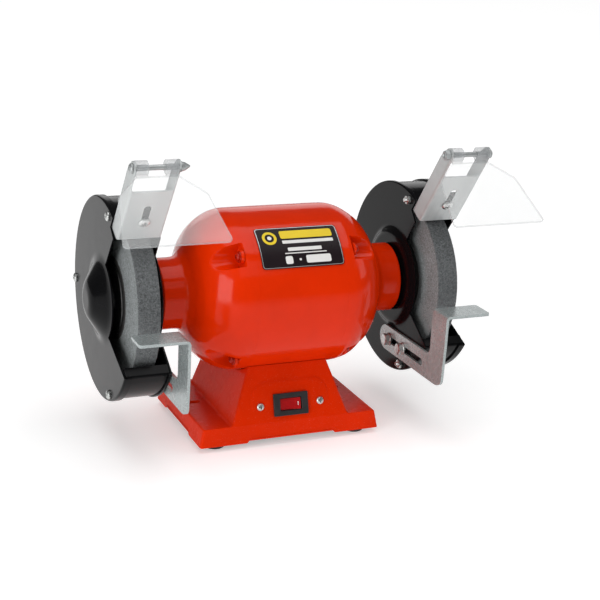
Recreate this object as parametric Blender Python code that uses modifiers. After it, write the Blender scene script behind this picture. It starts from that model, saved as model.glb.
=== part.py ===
"""Bench grinder with two wheels on one motor shaft: every piece is its own named object.

The shaft runs along X and the user stands at -Y. Lengths below are in millimetres, and the helpers
turn them into metres. Most pieces hang on an empty at the middle of the shaft, so their places are
read from the shaft's centre line.
"""

import math

import bmesh
import bpy
from mathutils import Matrix, Vector

MM = 0.001
SIDES = (("left", -1), ("right", 1))
GAP = 0.3

# Overall placing
SHAFT_HEIGHT = 135.5
SHAFT_BACK = 30.1

# Grinding wheel, its clamping flanges and the shaft
WHEEL_RADIUS = 75.0
WHEEL_WIDTH = 20.0
WHEEL_CENTRE = 143.0
BORE_RADIUS = 6.35
FLANGE_RADIUS = 33.0
FLANGE_DEPTH = 5.0
SHAFT_RADIUS = 6.0
JOURNAL_RADIUS = 8.5
SHAFT_END = 169.0
NUT_DEPTH = 9.0

# Motor
BARREL_RADIUS = 74.6
BARREL_HALF = 42.0
SHELL_WALL = 4.0
NECK_END = 114.3
NECK_RADIUS = 32.6
STATOR_HALF = 26.0
ROTOR_RADIUS = 30.0
BEARING_RADIUS = 17.5
BEARING_INNER = 102.0
BEARING_WIDTH = 11.0
TIE_RADIUS = 69.0
POCKET_RADIUS = 10.5
POCKET_END = 52.5
TIE_ANGLES = (41, 131, 221, 311)

# Wheel guard
SHEET = 1.3
PLATE_FACE = 122.8
COVER_FACE = 165.3
BAND_RADIUS = 90.0
COVER_RADIUS = 91.6
DOME_DEPTH = 13.5
DOME_RADIUS = 38.0
DOME_FLAT = 14.0
HUB_RADIUS = 49.0
WEB_ANGLE = 54.1
BAND_TOP_ANGLE = 66.5
BAND_BOTTOM_ANGLE = 328.0
COVER_SCREWS = ((-24.5, 81.0), (84.3, -5.5), (-31.5, -79.2))

# Eye shield, its rod and its bracket
BRACKET_INSIDE = 36.5
BRACKET_SHEET = 1.5
BRACKET_CENTRE = 144.1
WEB_BOTTOM = 79.5
WEB_TOP = 139.5
WEB_FRONT = 1.9
BRACKET_DEPTH = 16.0
ROD_RADIUS = 2.3
ROD_FORWARD = 89.0
ROD_ABOVE = 136.5
SHIELD_TILT = 35.2
SHIELD_THICKNESS = 2.5

# Tool rest
REST_SHEET = 2.6
REST_TABLE_TOP = -4.4
REST_SLOT_HEIGHT = -61.5
REST_BOLTS = (-8.8, -37.4)

# Base, with heights below the shaft
BASE_BOTTOM = 130.2
BASE_FLANGE_TOP = 113.2
BASE_HALF = 88.8
BASE_FLANGE_HALF = 85.4
BASE_FRONT = -58.7
BASE_BACK = 70.6
FOOT_RADIUS = 10.0
FOOT_PLACES = ((-70, -43), (70, -43), (-70, 55), (70, 55))
PLATE_LOW = -126.8
PLATE_THICKNESS = 1.2
BENCH_SLOT = (71.5, 10.5)
PANEL_BOTTOM = (57.4, -56.4, -113.2)
PANEL_TOP = (41.5, -43.6, -70.4)


def clear_scene():
    for obj in list(bpy.data.objects):
        bpy.data.objects.remove(obj, do_unlink=True)


def new_collection(name):
    collection = bpy.data.collections.new(name)
    bpy.context.scene.collection.children.link(collection)
    return collection


def new_material(name, colour, roughness, metallic=0.0):
    material = bpy.data.materials.new(name)
    material.use_nodes = True
    shader = material.node_tree.nodes["Principled BSDF"]
    shader.inputs["Base Color"].default_value = (*colour, 1.0)
    shader.inputs["Roughness"].default_value = roughness
    shader.inputs["Metallic"].default_value = metallic
    return material


clear_scene()
PARTS = new_collection("bench_grinder")
CUTTERS = new_collection("cutters")

RED_PAINT = new_material("red_paint", (0.72, 0.03, 0.005), 0.3)
BLACK_PAINT = new_material("black_paint", (0.02, 0.02, 0.02), 0.35)
ZINC = new_material("zinc_plate", (0.6, 0.6, 0.58), 0.35, 1.0)
STEEL = new_material("steel", (0.45, 0.45, 0.45), 0.35, 1.0)
ABRASIVE = new_material("abrasive", (0.13, 0.13, 0.13), 0.9)
CLEAR = new_material("clear_plastic", (0.9, 0.92, 0.93), 0.1)
RUBBER = new_material("rubber", (0.015, 0.015, 0.015), 0.8)
BLACK_PLASTIC = new_material("black_plastic", (0.02, 0.02, 0.02), 0.45)
RED_PLASTIC = new_material("red_plastic", (0.5, 0.01, 0.01), 0.25)
LABEL = new_material("label", (0.015, 0.013, 0.013), 0.35)
COPPER = new_material("copper_wire", (0.55, 0.2, 0.08), 0.4, 1.0)


def empty(name, location, parent=None, turn=(0, 0, 0)):
    """A frame that pieces hang on: it isn't a piece itself."""
    frame = bpy.data.objects.new(name, None)
    frame.location = Vector(location) * MM
    frame.rotation_euler = [math.radians(angle) for angle in turn]
    frame.parent = parent
    PARTS.objects.link(frame)
    bpy.context.view_layer.update()
    return frame


SHAFT = empty("shaft_centre", (0, SHAFT_BACK, SHAFT_HEIGHT))

ALONG_X = Matrix(((0, 0, 1, 0), (1, 0, 0, 0), (0, 1, 0, 0), (0, 0, 0, 1)))
ALONG_Y = Matrix(((1, 0, 0, 0), (0, 0, -1, 0), (0, 1, 0, 0), (0, 0, 0, 1)))
ALONG_Z = Matrix.Identity(4)


def place(obj, location, frame=SHAFT, facing=ALONG_Z):
    """Hangs an object on a frame, with the object's own Z along the given direction."""
    obj.parent = frame
    obj.location = Vector(location) * MM
    obj.rotation_euler = facing.to_euler()
    bpy.context.view_layer.update()


def finish(obj, material, cutter=False):
    """Files the object as a piece or as a cutter, gives it its material and smooths its round faces."""
    obj.data.materials.clear()
    obj.data.materials.append(material)
    if cutter:
        CUTTERS.objects.link(obj)
        obj.hide_render = True
        obj.display_type = "WIRE"
    else:
        PARTS.objects.link(obj)
    if len(obj.data.polygons):
        obj.data.shade_smooth()
        obj.data.set_sharp_from_angle(angle=math.radians(35))


def prism(name, outlines, depth, material, location=(0, 0, 0), frame=SHAFT, facing=ALONG_Z, cutter=False):
    """A flat outline with a thickness, centred on its own plane. Outlines after the first are holes."""
    curve = bpy.data.curves.new(name, "CURVE")
    curve.dimensions = "2D"
    curve.fill_mode = "BOTH"
    curve.extrude = depth * MM / 2
    curve.resolution_u = 1
    curve.render_resolution_u = 0
    for outline in outlines:
        spline = curve.splines.new("POLY")
        spline.points.add(len(outline) - 1)
        for point, (across, up) in zip(spline.points, outline):
            point.co = (across * MM, up * MM, 0, 1)
        spline.use_cyclic_u = True
    source = bpy.data.objects.new(name + "_outline", curve)
    PARTS.objects.link(source)
    bpy.context.view_layer.update()
    depsgraph = bpy.context.evaluated_depsgraph_get()
    mesh = bpy.data.meshes.new_from_object(source.evaluated_get(depsgraph))
    mesh.name = name
    bpy.data.objects.remove(source)
    bm = bmesh.new()
    bm.from_mesh(mesh)
    bmesh.ops.remove_doubles(bm, verts=bm.verts, dist=1e-6)
    bmesh.ops.recalc_face_normals(bm, faces=bm.faces)
    bm.to_mesh(mesh)
    bm.free()
    obj = bpy.data.objects.new(name, mesh)
    finish(obj, material, cutter)
    place(obj, location, frame, facing)
    return obj


def turned(name, profile, material, location=(0, 0, 0), frame=SHAFT, facing=ALONG_X, steps=40, cutter=False):
    """A closed profile of (along the axis, radius) spun about the object's own Z."""
    area = 0.0
    for (z0, r0), (z1, r1) in zip(profile, profile[1:] + profile[:1]):
        area += r0 * z1 - r1 * z0
    ordered = profile if area < 0 else profile[::-1]
    on_axis = [index for index, (_, radius) in enumerate(ordered) if radius == 0]
    if on_axis:
        while not (ordered[0][1] == 0 and ordered[-1][1] == 0):
            ordered = ordered[1:] + ordered[:1]
    mesh = bpy.data.meshes.new(name)
    points = [(radius * MM, 0, along * MM) for along, radius in ordered]
    edges = [(index, index + 1) for index in range(len(points) - 1)]
    if not on_axis:
        edges.append((len(points) - 1, 0))
    mesh.from_pydata(points, edges, [])
    obj = bpy.data.objects.new(name, mesh)
    screw = obj.modifiers.new("spin", "SCREW")
    screw.axis = "Z"
    screw.steps = steps
    screw.render_steps = steps
    screw.use_merge_vertices = True
    screw.merge_threshold = 0.00001
    screw.use_smooth_shade = True
    finish(obj, material, cutter)
    place(obj, location, frame, facing)
    return obj


def cylinder(name, radius, depth, material, location, frame=SHAFT, facing=ALONG_X, sides=24, cutter=False):
    """A round or many-sided bar, centred on its own middle."""
    mesh = bpy.data.meshes.new(name)
    bm = bmesh.new()
    bmesh.ops.create_cone(
        bm, cap_ends=True, segments=sides, radius1=radius * MM, radius2=radius * MM, depth=depth * MM
    )
    bm.to_mesh(mesh)
    bm.free()
    obj = bpy.data.objects.new(name, mesh)
    finish(obj, material, cutter)
    place(obj, location, frame, facing)
    return obj


def box(name, low, high, material, frame=SHAFT, cutter=False):
    """A box between two corners."""
    mesh = bpy.data.meshes.new(name)
    bm = bmesh.new()
    size = Vector(high) - Vector(low)
    bmesh.ops.create_cube(bm, size=1.0, matrix=Matrix.Diagonal((*(size * MM), 1.0)))
    bm.to_mesh(mesh)
    bm.free()
    obj = bpy.data.objects.new(name, mesh)
    finish(obj, material, cutter)
    place(obj, (Vector(low) + Vector(high)) / 2, frame)
    return obj


def combine(obj, other, operation):
    modifier = obj.modifiers.new(operation.lower(), "BOOLEAN")
    modifier.operation = operation
    modifier.solver = "EXACT"
    modifier.object = other


def arc(centre, radius, start, end, steps):
    """Points on an arc, with angles in degrees from the first axis towards the second."""
    points = []
    for step in range(steps + 1):
        angle = math.radians(start + (end - start) * step / steps)
        points.append((centre[0] + radius * math.cos(angle), centre[1] + radius * math.sin(angle)))
    return points


def front_arc(radius, start, end, steps):
    """Points about the shaft as (y, z), with angles in degrees from the front, rising."""
    return [(-y, z) for y, z in arc((0, 0), radius, start, end, steps)]


def circle(centre, radius, steps=20):
    return arc(centre, radius, 0, 360, steps)[:-1]


def slot_outline(start, end, radius, steps=6):
    """A slot along the first axis, with round ends."""
    right = arc((end, 0), radius, -90, 90, steps)
    left = arc((start, 0), radius, 90, 270, steps)
    return right + left


def shifted(points, across, up):
    return [(x + across, y + up) for x, y in points]


# ---- base ----


def base_section(half, front, back, height):
    """Four corners of the base at one height."""
    return [(-half, front, height), (half, front, height), (half, back, height), (-half, back, height)]


def lofted(name, sections, material, cutter=False):
    """A solid through four-cornered sections that are stacked from the bottom up."""
    mesh = bpy.data.meshes.new(name)
    points = [Vector(corner) * MM for section in sections for corner in section]
    faces = [(3, 2, 1, 0), tuple(range(len(points) - 4, len(points)))]
    for layer in range(len(sections) - 1):
        for corner in range(4):
            following = (corner + 1) % 4
            low = layer * 4
            faces.append((low + corner, low + following, low + 4 + following, low + 4 + corner))
    mesh.from_pydata(points, [], faces)
    obj = bpy.data.objects.new(name, mesh)
    finish(obj, material, cutter)
    place(obj, (0, 0, 0))
    return obj


def make_base():
    wall = 3.2
    panel_back = 62.0
    saddle = -30.0
    flange = [
        base_section(BASE_HALF, BASE_FRONT, BASE_BACK, -BASE_BOTTOM),
        base_section(BASE_FLANGE_HALF, BASE_FRONT + 2.7, BASE_BACK - 2.7, -BASE_FLANGE_TOP),
    ]
    reach = (saddle + BASE_FLANGE_TOP) / (PANEL_TOP[2] + BASE_FLANGE_TOP)
    top_half = PANEL_BOTTOM[0] + (PANEL_TOP[0] - PANEL_BOTTOM[0]) * reach
    top_front = PANEL_BOTTOM[1] + (PANEL_TOP[1] - PANEL_BOTTOM[1]) * reach
    pedestal = [
        base_section(PANEL_BOTTOM[0] + 0.9, PANEL_BOTTOM[1] - 0.7, panel_back + 1.0, -BASE_FLANGE_TOP - 2.0),
        base_section(top_half, top_front, panel_back - 5.5, saddle),
    ]
    base = lofted("base_housing", flange, RED_PAINT)
    combine(base, lofted("pedestal_body", pedestal, RED_PAINT, cutter=True), "UNION")
    hollow = [
        base_section(BASE_HALF - wall - 0.6, BASE_FRONT + wall + 0.6, BASE_BACK - wall - 0.6, -BASE_BOTTOM - 1),
        base_section(BASE_FLANGE_HALF - wall, BASE_FRONT + 2.7 + wall, BASE_BACK - 2.7 - wall, -BASE_FLANGE_TOP - wall),
    ]
    inner_top = -84.0
    inner_reach = (inner_top + BASE_FLANGE_TOP) / (PANEL_TOP[2] + BASE_FLANGE_TOP)
    inner_half = PANEL_BOTTOM[0] + (PANEL_TOP[0] - PANEL_BOTTOM[0]) * inner_reach - wall - 1
    inner_front = PANEL_BOTTOM[1] + (PANEL_TOP[1] - PANEL_BOTTOM[1]) * inner_reach + wall
    pedestal_hollow = [
        base_section(PANEL_BOTTOM[0] - wall, PANEL_BOTTOM[1] + wall, panel_back - wall, -BASE_FLANGE_TOP - wall - 1),
        base_section(inner_half, inner_front, panel_back - wall - 5.8, inner_top),
    ]
    combine(base, lofted("base_hollow", hollow, RED_PAINT, cutter=True), "DIFFERENCE")
    combine(base, lofted("pedestal_hollow", pedestal_hollow, RED_PAINT, cutter=True), "DIFFERENCE")
    saddle_cut = cylinder(
        "saddle_cut", BARREL_RADIUS + 2 * GAP, 200, RED_PAINT, (0, 0, 0), sides=48, cutter=True
    )
    combine(base, saddle_cut, "DIFFERENCE")
    front_relief = box("front_relief", (-42, -80, -140), (43, 90, -BASE_BOTTOM + 3), RED_PAINT, cutter=True)
    side_relief = box("side_relief", (-100, -24, -140), (100, 42, -BASE_BOTTOM + 3), RED_PAINT, cutter=True)
    combine(base, front_relief, "DIFFERENCE")
    combine(base, side_relief, "DIFFERENCE")
    for name, side in SIDES:
        slot = prism(
            name + "_bench_slot", [slot_outline(-2.8, 2.8, 3.3)], 12, RED_PAINT,
            (side * BENCH_SLOT[0], BENCH_SLOT[1], -BASE_FLANGE_TOP), cutter=True,
        )
        combine(base, slot, "DIFFERENCE")
    combine(base, panel_cut("switch_opening", 13.2, 9.2), "DIFFERENCE")
    for side in (-1, 1):
        hole = cylinder(
            "switch_screw_hole", 1.9, 20, RED_PAINT, (side * 29.6, 0, 0), PANEL, ALONG_Z, 12, cutter=True
        )
        combine(base, hole, "DIFFERENCE")
    gland_hole = cylinder(
        "gland_hole", 5.0, 20, RED_PAINT, (GLAND_ACROSS, BASE_BACK - 6, GLAND_HEIGHT), facing=ALONG_Y, sides=20,
        cutter=True,
    )
    combine(base, gland_hole, "DIFFERENCE")
    return base


PANEL_SLOPE = math.degrees(
    math.atan2(PANEL_TOP[1] - PANEL_BOTTOM[1], PANEL_TOP[2] - PANEL_BOTTOM[2])
)
SWITCH_HEIGHT = -98.6
SWITCH_FRONT = PANEL_BOTTOM[1] + (SWITCH_HEIGHT - PANEL_BOTTOM[2]) * math.tan(math.radians(PANEL_SLOPE))
# The panel frame lies on the sloping front panel: its Z points out of the panel, and its Y runs up it.
PANEL = empty("panel_frame", (0, SWITCH_FRONT, SWITCH_HEIGHT), SHAFT, (90 - PANEL_SLOPE, 0, 0))
GLAND_ACROSS = -45.0
GLAND_HEIGHT = -119.5


def panel_cut(name, half_width, half_height):
    return box(name, (-half_width, -half_height, -8), (half_width, half_height, 8), RED_PAINT, PANEL, cutter=True)


def make_switch():
    """A snap-in power switch: a collar with a pocket, and a rocker that tips in it."""
    bezel = box("switch_bezel", (-17, -10.4, 0.1), (17, 10.4, 2.4), BLACK_PLASTIC, PANEL)
    body = box("switch_body", (-12.9, -8.9, -13), (12.9, 8.9, 1.5), BLACK_PLASTIC, PANEL, cutter=True)
    pocket = box("switch_pocket", (-10.6, -5.8, -9), (10.6, 5.8, 9), BLACK_PLASTIC, PANEL, cutter=True)
    combine(bezel, body, "UNION")
    combine(bezel, pocket, "DIFFERENCE")
    # The rocker is a shallow V seen from above: pressing either end tips it about its middle.
    tilt = 6.0
    outline = [(-9.9, 1.9), (-9.7, -5.4), (9.7, -5.4), (9.9, 1.9), (0, 0.6)]
    turn = math.radians(tilt)
    tipped = [
        (across * math.cos(turn) - (up + 3.2) * math.sin(turn), across * math.sin(turn) + (up + 3.2) * math.cos(turn))
        for across, up in outline
    ]
    pivot = empty("rocker_pivot", (0, 0, -3.2), PANEL)
    prism("power_rocker", [tipped], 10.6, RED_PLASTIC, (0, 0, 0), pivot, ALONG_Y)
    for name, side in SIDES:
        turned(
            "switch_screw_" + name,
            [(2.3, 0), (1.9, 2.2), (0.15, 3.4), (0.15, 1.6), (-8, 1.6), (-8, 0)],
            STEEL, (side * 29.6, 0, 0), PANEL, ALONG_Z, 10,
        )


def make_feet():
    for index, (across, back) in enumerate(FOOT_PLACES):
        name = "foot_" + ("front" if back < 0 else "rear") + ("_left" if across < 0 else "_right")
        height = PLATE_LOW - GAP + SHAFT_HEIGHT
        turned(
            name,
            [(0, 0), (0, 8.8), (0.8, FOOT_RADIUS - 0.3), (height, FOOT_RADIUS), (height, 0)],
            RUBBER, (across, back, -SHAFT_HEIGHT), facing=ALONG_Z, steps=20,
        )


def make_bottom_plate():
    """A thin sheet that closes the base from below and holds the feet."""
    inset = 5.2
    front = BASE_FRONT + inset
    back = BASE_BACK - inset
    half = BASE_HALF - inset
    outline = [(-half, front), (half, front), (half, back), (-half, back)]
    slots = [shifted(slot_outline(-2.8, 2.8, 3.6), side * BENCH_SLOT[0], BENCH_SLOT[1]) for _, side in SIDES]
    prism("bottom_plate", [outline, *slots], PLATE_THICKNESS, BLACK_PAINT, (0, 0, PLATE_LOW + PLATE_THICKNESS / 2))


def make_gland():
    """The ring in the back wall where a supply lead would enter."""
    turned(
        "cable_gland",
        [(-6.0, 3.0), (-6.0, 5.4), (-4.5, 7.0), (-GAP, 7.0), (-GAP, 4.7), (8.0, 4.7), (8.0, 3.0)],
        RUBBER, (GLAND_ACROSS, BASE_BACK, GLAND_HEIGHT), facing=ALONG_Y, steps=20,
    )


def make_capacitor():
    turned(
        "run_capacitor", [(-24, 0), (-24, 13.5), (24, 13.5), (24, 0)], BLACK_PLASTIC,
        (20, 32, -108.0), steps=20,
    )


# ---- motor ----


def make_barrel():
    turned(
        "motor_barrel",
        [
            (-BARREL_HALF, BARREL_RADIUS), (BARREL_HALF, BARREL_RADIUS),
            (BARREL_HALF, BARREL_RADIUS - SHELL_WALL), (-BARREL_HALF, BARREL_RADIUS - SHELL_WALL),
        ],
        RED_PAINT, steps=48,
    )


BELL_PROFILE = (
    (52, 74.1), (61, 71.5), (70, 66.4), (78, 59.4), (84, 51.3), (88, 43.5), (91, 37.2), (96, NECK_RADIUS + 0.5),
)


def make_bells():
    """The two end covers: a rounded shoulder that narrows to a neck, with four pockets for the tie screws."""
    for name, side in SIDES:
        start = BARREL_HALF + GAP
        outer = [(start, BARREL_RADIUS), *BELL_PROFILE, (NECK_END, NECK_RADIUS), (NECK_END, 0), (start, 0)]
        inner = [
            (start - 1, BARREL_RADIUS - SHELL_WALL), (58, BARREL_RADIUS - SHELL_WALL - 2), (76, 54),
            (88, 30), (BEARING_INNER - 3, 26), (BEARING_INNER - 3, 0), (start - 1, 0),
        ]
        bell = turned(
            "end_bell_" + name, [(side * x, radius) for x, radius in outer], RED_PAINT, steps=40
        )
        cavity = turned(
            "bell_cavity_" + name, [(side * x, radius) for x, radius in inner], RED_PAINT, steps=22, cutter=True
        )
        for angle in TIE_ANGLES:
            turn = math.radians(angle)
            y = -TIE_RADIUS * math.cos(turn)
            z = TIE_RADIUS * math.sin(turn)
            boss = cylinder(
                "tie_boss", POCKET_RADIUS + 3.5, 70, RED_PAINT, (side * (start + 29), y, z), sides=10, cutter=True
            )
            combine(cavity, boss, "DIFFERENCE")
        combine(bell, cavity, "DIFFERENCE")
        for angle in TIE_ANGLES:
            turn = math.radians(angle)
            y = -TIE_RADIUS * math.cos(turn)
            z = TIE_RADIUS * math.sin(turn)
            pocket = cylinder(
                "tie_pocket", POCKET_RADIUS, 60, RED_PAINT, (side * (POCKET_END + 30), y, z), sides=14, cutter=True
            )
            combine(bell, pocket, "DIFFERENCE")
        seat = turned(
            "bearing_seat_" + name,
            [
                (side * (BEARING_INNER - 4), 0), (side * (BEARING_INNER - 4), BEARING_RADIUS + GAP),
                (side * (BEARING_INNER + BEARING_WIDTH), BEARING_RADIUS + GAP),
                (side * (BEARING_INNER + BEARING_WIDTH), 11.0), (side * (NECK_END + 3), 11.0),
                (side * (NECK_END + 3), 0),
            ],
            RED_PAINT, steps=24, cutter=True,
        )
        combine(bell, seat, "DIFFERENCE")


def make_motor_insides():
    turned(
        "stator_core",
        [
            (-STATOR_HALF, ROTOR_RADIUS + 0.8), (STATOR_HALF, ROTOR_RADIUS + 0.8),
            (STATOR_HALF, BARREL_RADIUS - SHELL_WALL - GAP), (-STATOR_HALF, BARREL_RADIUS - SHELL_WALL - GAP),
        ],
        STEEL, steps=28,
    )
    turned(
        "rotor_core",
        [
            (-STATOR_HALF - 2, JOURNAL_RADIUS + GAP), (STATOR_HALF + 2, JOURNAL_RADIUS + GAP),
            (STATOR_HALF + 2, ROTOR_RADIUS), (-STATOR_HALF - 2, ROTOR_RADIUS),
        ],
        STEEL, steps=28,
    )
    for name, side in SIDES:
        near = STATOR_HALF + GAP
        turned(
            "winding_" + name,
            [(side * near, 34), (side * (near + 14), 36), (side * (near + 14), 50), (side * near, 54)],
            COPPER, steps=24,
        )
        turned(
            "bearing_" + name,
            [
                (side * (BEARING_INNER + GAP), JOURNAL_RADIUS + GAP), (side * (BEARING_INNER + GAP), BEARING_RADIUS),
                (side * (BEARING_INNER + BEARING_WIDTH - GAP), BEARING_RADIUS),
                (side * (BEARING_INNER + BEARING_WIDTH - GAP), JOURNAL_RADIUS + GAP),
            ],
            STEEL, steps=24,
        )
    inner_face = WHEEL_CENTRE - WHEEL_WIDTH / 2 - FLANGE_DEPTH - 2 * GAP
    turned(
        "motor_shaft",
        [
            (-SHAFT_END, 0), (-SHAFT_END, SHAFT_RADIUS), (-inner_face, SHAFT_RADIUS), (-inner_face, JOURNAL_RADIUS),
            (inner_face, JOURNAL_RADIUS), (inner_face, SHAFT_RADIUS), (SHAFT_END, SHAFT_RADIUS), (SHAFT_END, 0),
        ],
        STEEL, steps=24,
    )


def make_nameplate():
    """A thin plate bent round the barrel, high on its front."""
    angle = 44.3
    half_angle = 15.6
    inner = BARREL_RADIUS + GAP
    outline = front_arc(inner + 0.8, angle - half_angle, angle + half_angle, 8)
    outline += front_arc(inner, angle + half_angle, angle - half_angle, 8)
    prism("nameplate", [outline], 78.5, LABEL, (1.0, 0, 0), facing=ALONG_X)


# ---- wheels ----


def make_wheels():
    for name, side in SIDES:
        inner = WHEEL_CENTRE - WHEEL_WIDTH / 2
        outer = WHEEL_CENTRE + WHEEL_WIDTH / 2
        turned(
            "grinding_wheel_" + name,
            [
                (side * inner, BORE_RADIUS), (side * outer, BORE_RADIUS), (side * outer, WHEEL_RADIUS - 0.8),
                (side * (outer - 0.8), WHEEL_RADIUS), (side * (inner + 0.8), WHEEL_RADIUS),
                (side * inner, WHEEL_RADIUS - 0.8),
            ],
            ABRASIVE, steps=48,
        )
        flanges = (("inner_flange_", inner - GAP, -1), ("outer_flange_", outer + GAP, 1))
        for prefix, face, direction in flanges:
            turned(
                prefix + name,
                [
                    (side * face, BORE_RADIUS), (side * face, FLANGE_RADIUS),
                    (side * (face + direction * 2.2), FLANGE_RADIUS),
                    (side * (face + direction * FLANGE_DEPTH), FLANGE_RADIUS - 9),
                    (side * (face + direction * FLANGE_DEPTH), BORE_RADIUS),
                ],
                STEEL, steps=24,
            )
        nut_middle = outer + FLANGE_DEPTH + 2 * GAP + NUT_DEPTH / 2
        nut = cylinder("wheel_nut_" + name, 10.4, NUT_DEPTH, STEEL, (side * nut_middle, 0, 0), sides=6)
        hole = cylinder(
            "nut_bore_" + name, SHAFT_RADIUS + GAP, NUT_DEPTH + 2, STEEL, (side * nut_middle, 0, 0), sides=24,
            cutter=True,
        )
        combine(nut, hole, "DIFFERENCE")


# ---- wheel guards ----


def web_point(behind, out):
    """A point of the bracket's own plane as (y, z): so far behind the web's line, and so far out from the shaft."""
    turn = math.radians(WEB_ANGLE)
    return (-out * math.cos(turn) + behind * math.sin(turn), out * math.sin(turn) + behind * math.cos(turn))


def opening_outline(hub_radius, upper, lower):
    """The part that is cut out of a guard plate at the front: a wedge that stops at the round hub.

    It runs up from the hub to the bracket's notch, out past the rim, and back along the lower edge.
    """
    notch = web_point(WEB_FRONT + BRACKET_DEPTH + 2 * GAP, WEB_BOTTOM - 3.0)
    start = math.degrees(math.atan2(lower[0][1], -lower[0][0]))
    end = math.degrees(math.atan2(upper[0][1], -upper[0][0]))
    hub = front_arc(hub_radius, start, end, 10)
    radial = Vector((-math.cos(math.radians(WEB_ANGLE)), math.sin(math.radians(WEB_ANGLE))))
    rim = Vector(notch) + radial * 40
    outward = (Vector(lower[1]) - Vector(lower[0])).normalized()
    far = Vector(lower[1]) + outward * 40
    return hub + [upper[1], notch, tuple(rim), (-140, 60), tuple(far)]


COVER_OPENING = opening_outline(
    DOME_RADIUS + 0.8, ((-14.5, 34.4), (-38.5, 64.8)), ((-27.6, -28.4), (-76.1, -47.8))
)
PLATE_OPENING = opening_outline(
    HUB_RADIUS, ((-24.5, 42.4), (-38.5, 63.0)), ((-41.8, -25.0), (-76.5, -46.5))
)


def make_guard_plates():
    for name, side in SIDES:
        face = PLATE_FACE
        back = PLATE_FACE + SHEET
        plate = turned(
            "guard_plate_" + name,
            [
                (side * (face + 3.2), BAND_RADIUS + GAP + SHEET), (side * (face + 1.2), BAND_RADIUS + GAP + SHEET),
                (side * face, BAND_RADIUS),
                (side * face, HUB_RADIUS - 1.5), (side * (face - 3.6), HUB_RADIUS - 6.0), (side * (face - 3.6), 21.5),
                (side * (back - 3.6), 21.5), (side * (back - 3.6), HUB_RADIUS - 6.5),
                (side * back, HUB_RADIUS - 2.5), (side * back, BAND_RADIUS + GAP),
                (side * (face + 3.2), BAND_RADIUS + GAP),
            ],
            BLACK_PAINT, steps=44,
        )
        opening = prism(
            "plate_opening_" + name, [PLATE_OPENING], 20, BLACK_PAINT, (side * PLATE_FACE, 0, 0),
            facing=ALONG_X, cutter=True,
        )
        combine(plate, opening, "DIFFERENCE")
        neck_hole = cylinder(
            "neck_hole_" + name, NECK_RADIUS + GAP, 12, BLACK_PAINT, (side * (NECK_END - 6 + 1.5), 0, 0), sides=28,
            cutter=True,
        )
        combine(plate, neck_hole, "DIFFERENCE")
        for y, z in COVER_SCREWS:
            hole = cylinder("screw_hole", 2.5, 10, BLACK_PAINT, (side * PLATE_FACE, y, z), sides=8, cutter=True)
            combine(plate, hole, "DIFFERENCE")
        for y in REST_BOLTS:
            hole = cylinder(
                "rest_bolt_hole", 3.3, 10, BLACK_PAINT, (side * PLATE_FACE, y, REST_SLOT_HEIGHT), sides=12,
                cutter=True,
            )
            combine(plate, hole, "DIFFERENCE")


def make_guard_covers():
    for name, side in SIDES:
        face = COVER_FACE
        back = COVER_FACE - SHEET
        rise = DOME_DEPTH
        cover = turned(
            "guard_cover_" + name,
            [
                (side * (face + rise), 0), (side * (face + rise), DOME_FLAT),
                (side * face, DOME_RADIUS), (side * face, COVER_RADIUS - 1.5),
                (side * (face - 1.3), COVER_RADIUS), (side * (face - 7.0), COVER_RADIUS),
                (side * (face - 7.0), BAND_RADIUS + GAP), (side * back, BAND_RADIUS + GAP),
                (side * back, DOME_RADIUS - 0.9),
                (side * (back + rise), DOME_FLAT - 0.6), (side * (back + rise), 0),
            ],
            BLACK_PAINT, steps=44,
        )
        opening = prism(
            "cover_opening_" + name, [COVER_OPENING], 30, BLACK_PAINT, (side * COVER_FACE, 0, 0),
            facing=ALONG_X, cutter=True,
        )
        combine(cover, opening, "DIFFERENCE")
        for y, z in COVER_SCREWS:
            hole = cylinder("screw_hole", 2.5, 10, BLACK_PAINT, (side * COVER_FACE, y, z), sides=8, cutter=True)
            combine(cover, hole, "DIFFERENCE")


def make_guard_bands():
    """The rolled rim of the guard: an arc with a lip folded in at the bottom and a tab folded out at the top."""
    low = PLATE_FACE + SHEET + GAP
    high = COVER_FACE - SHEET - GAP
    inner = BAND_RADIUS - SHEET
    lip = 10.0
    lip_end = BAND_BOTTOM_ANGLE - 0.9
    outline = front_arc(BAND_RADIUS, BAND_TOP_ANGLE, BAND_BOTTOM_ANGLE, 34)
    outline += front_arc(BAND_RADIUS - lip, BAND_BOTTOM_ANGLE, lip_end, 1)
    outline += front_arc(inner, lip_end, BAND_TOP_ANGLE, 34)
    tab_front = WEB_FRONT + BRACKET_SHEET + GAP
    tab_back = tab_front + 2.0
    for name, side in SIDES:
        middle = side * (low + high) / 2
        band = prism(
            "guard_band_" + name, [outline], high - low, BLACK_PAINT, (middle, 0, 0), facing=ALONG_X
        )
        start_angle = WEB_ANGLE + math.degrees(tab_front / BAND_RADIUS)
        tab_arc = front_arc(BAND_RADIUS - 0.25, start_angle, BAND_TOP_ANGLE + 4, 4)
        tab_arc += front_arc(inner + 0.2, BAND_TOP_ANGLE + 4, start_angle, 4)
        tab = prism(
            "band_tab_" + name, [tab_arc], 24, BLACK_PAINT, (side * BRACKET_CENTRE, 0, 0), facing=ALONG_X,
            cutter=True,
        )
        upright = box(
            "band_upright_" + name, (-12, tab_front, inner - 0.1), (12, tab_back, 117), BLACK_PAINT,
            WEB_FRAMES[name], cutter=True,
        )
        hole = cylinder(
            "tab_hole_" + name, 2.8, 12, BLACK_PAINT, (0, tab_front, BRACKET_BOLT), WEB_FRAMES[name], ALONG_Y,
            12, cutter=True,
        )
        combine(band, tab, "UNION")
        combine(band, upright, "UNION")
        combine(band, hole, "DIFFERENCE")


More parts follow.
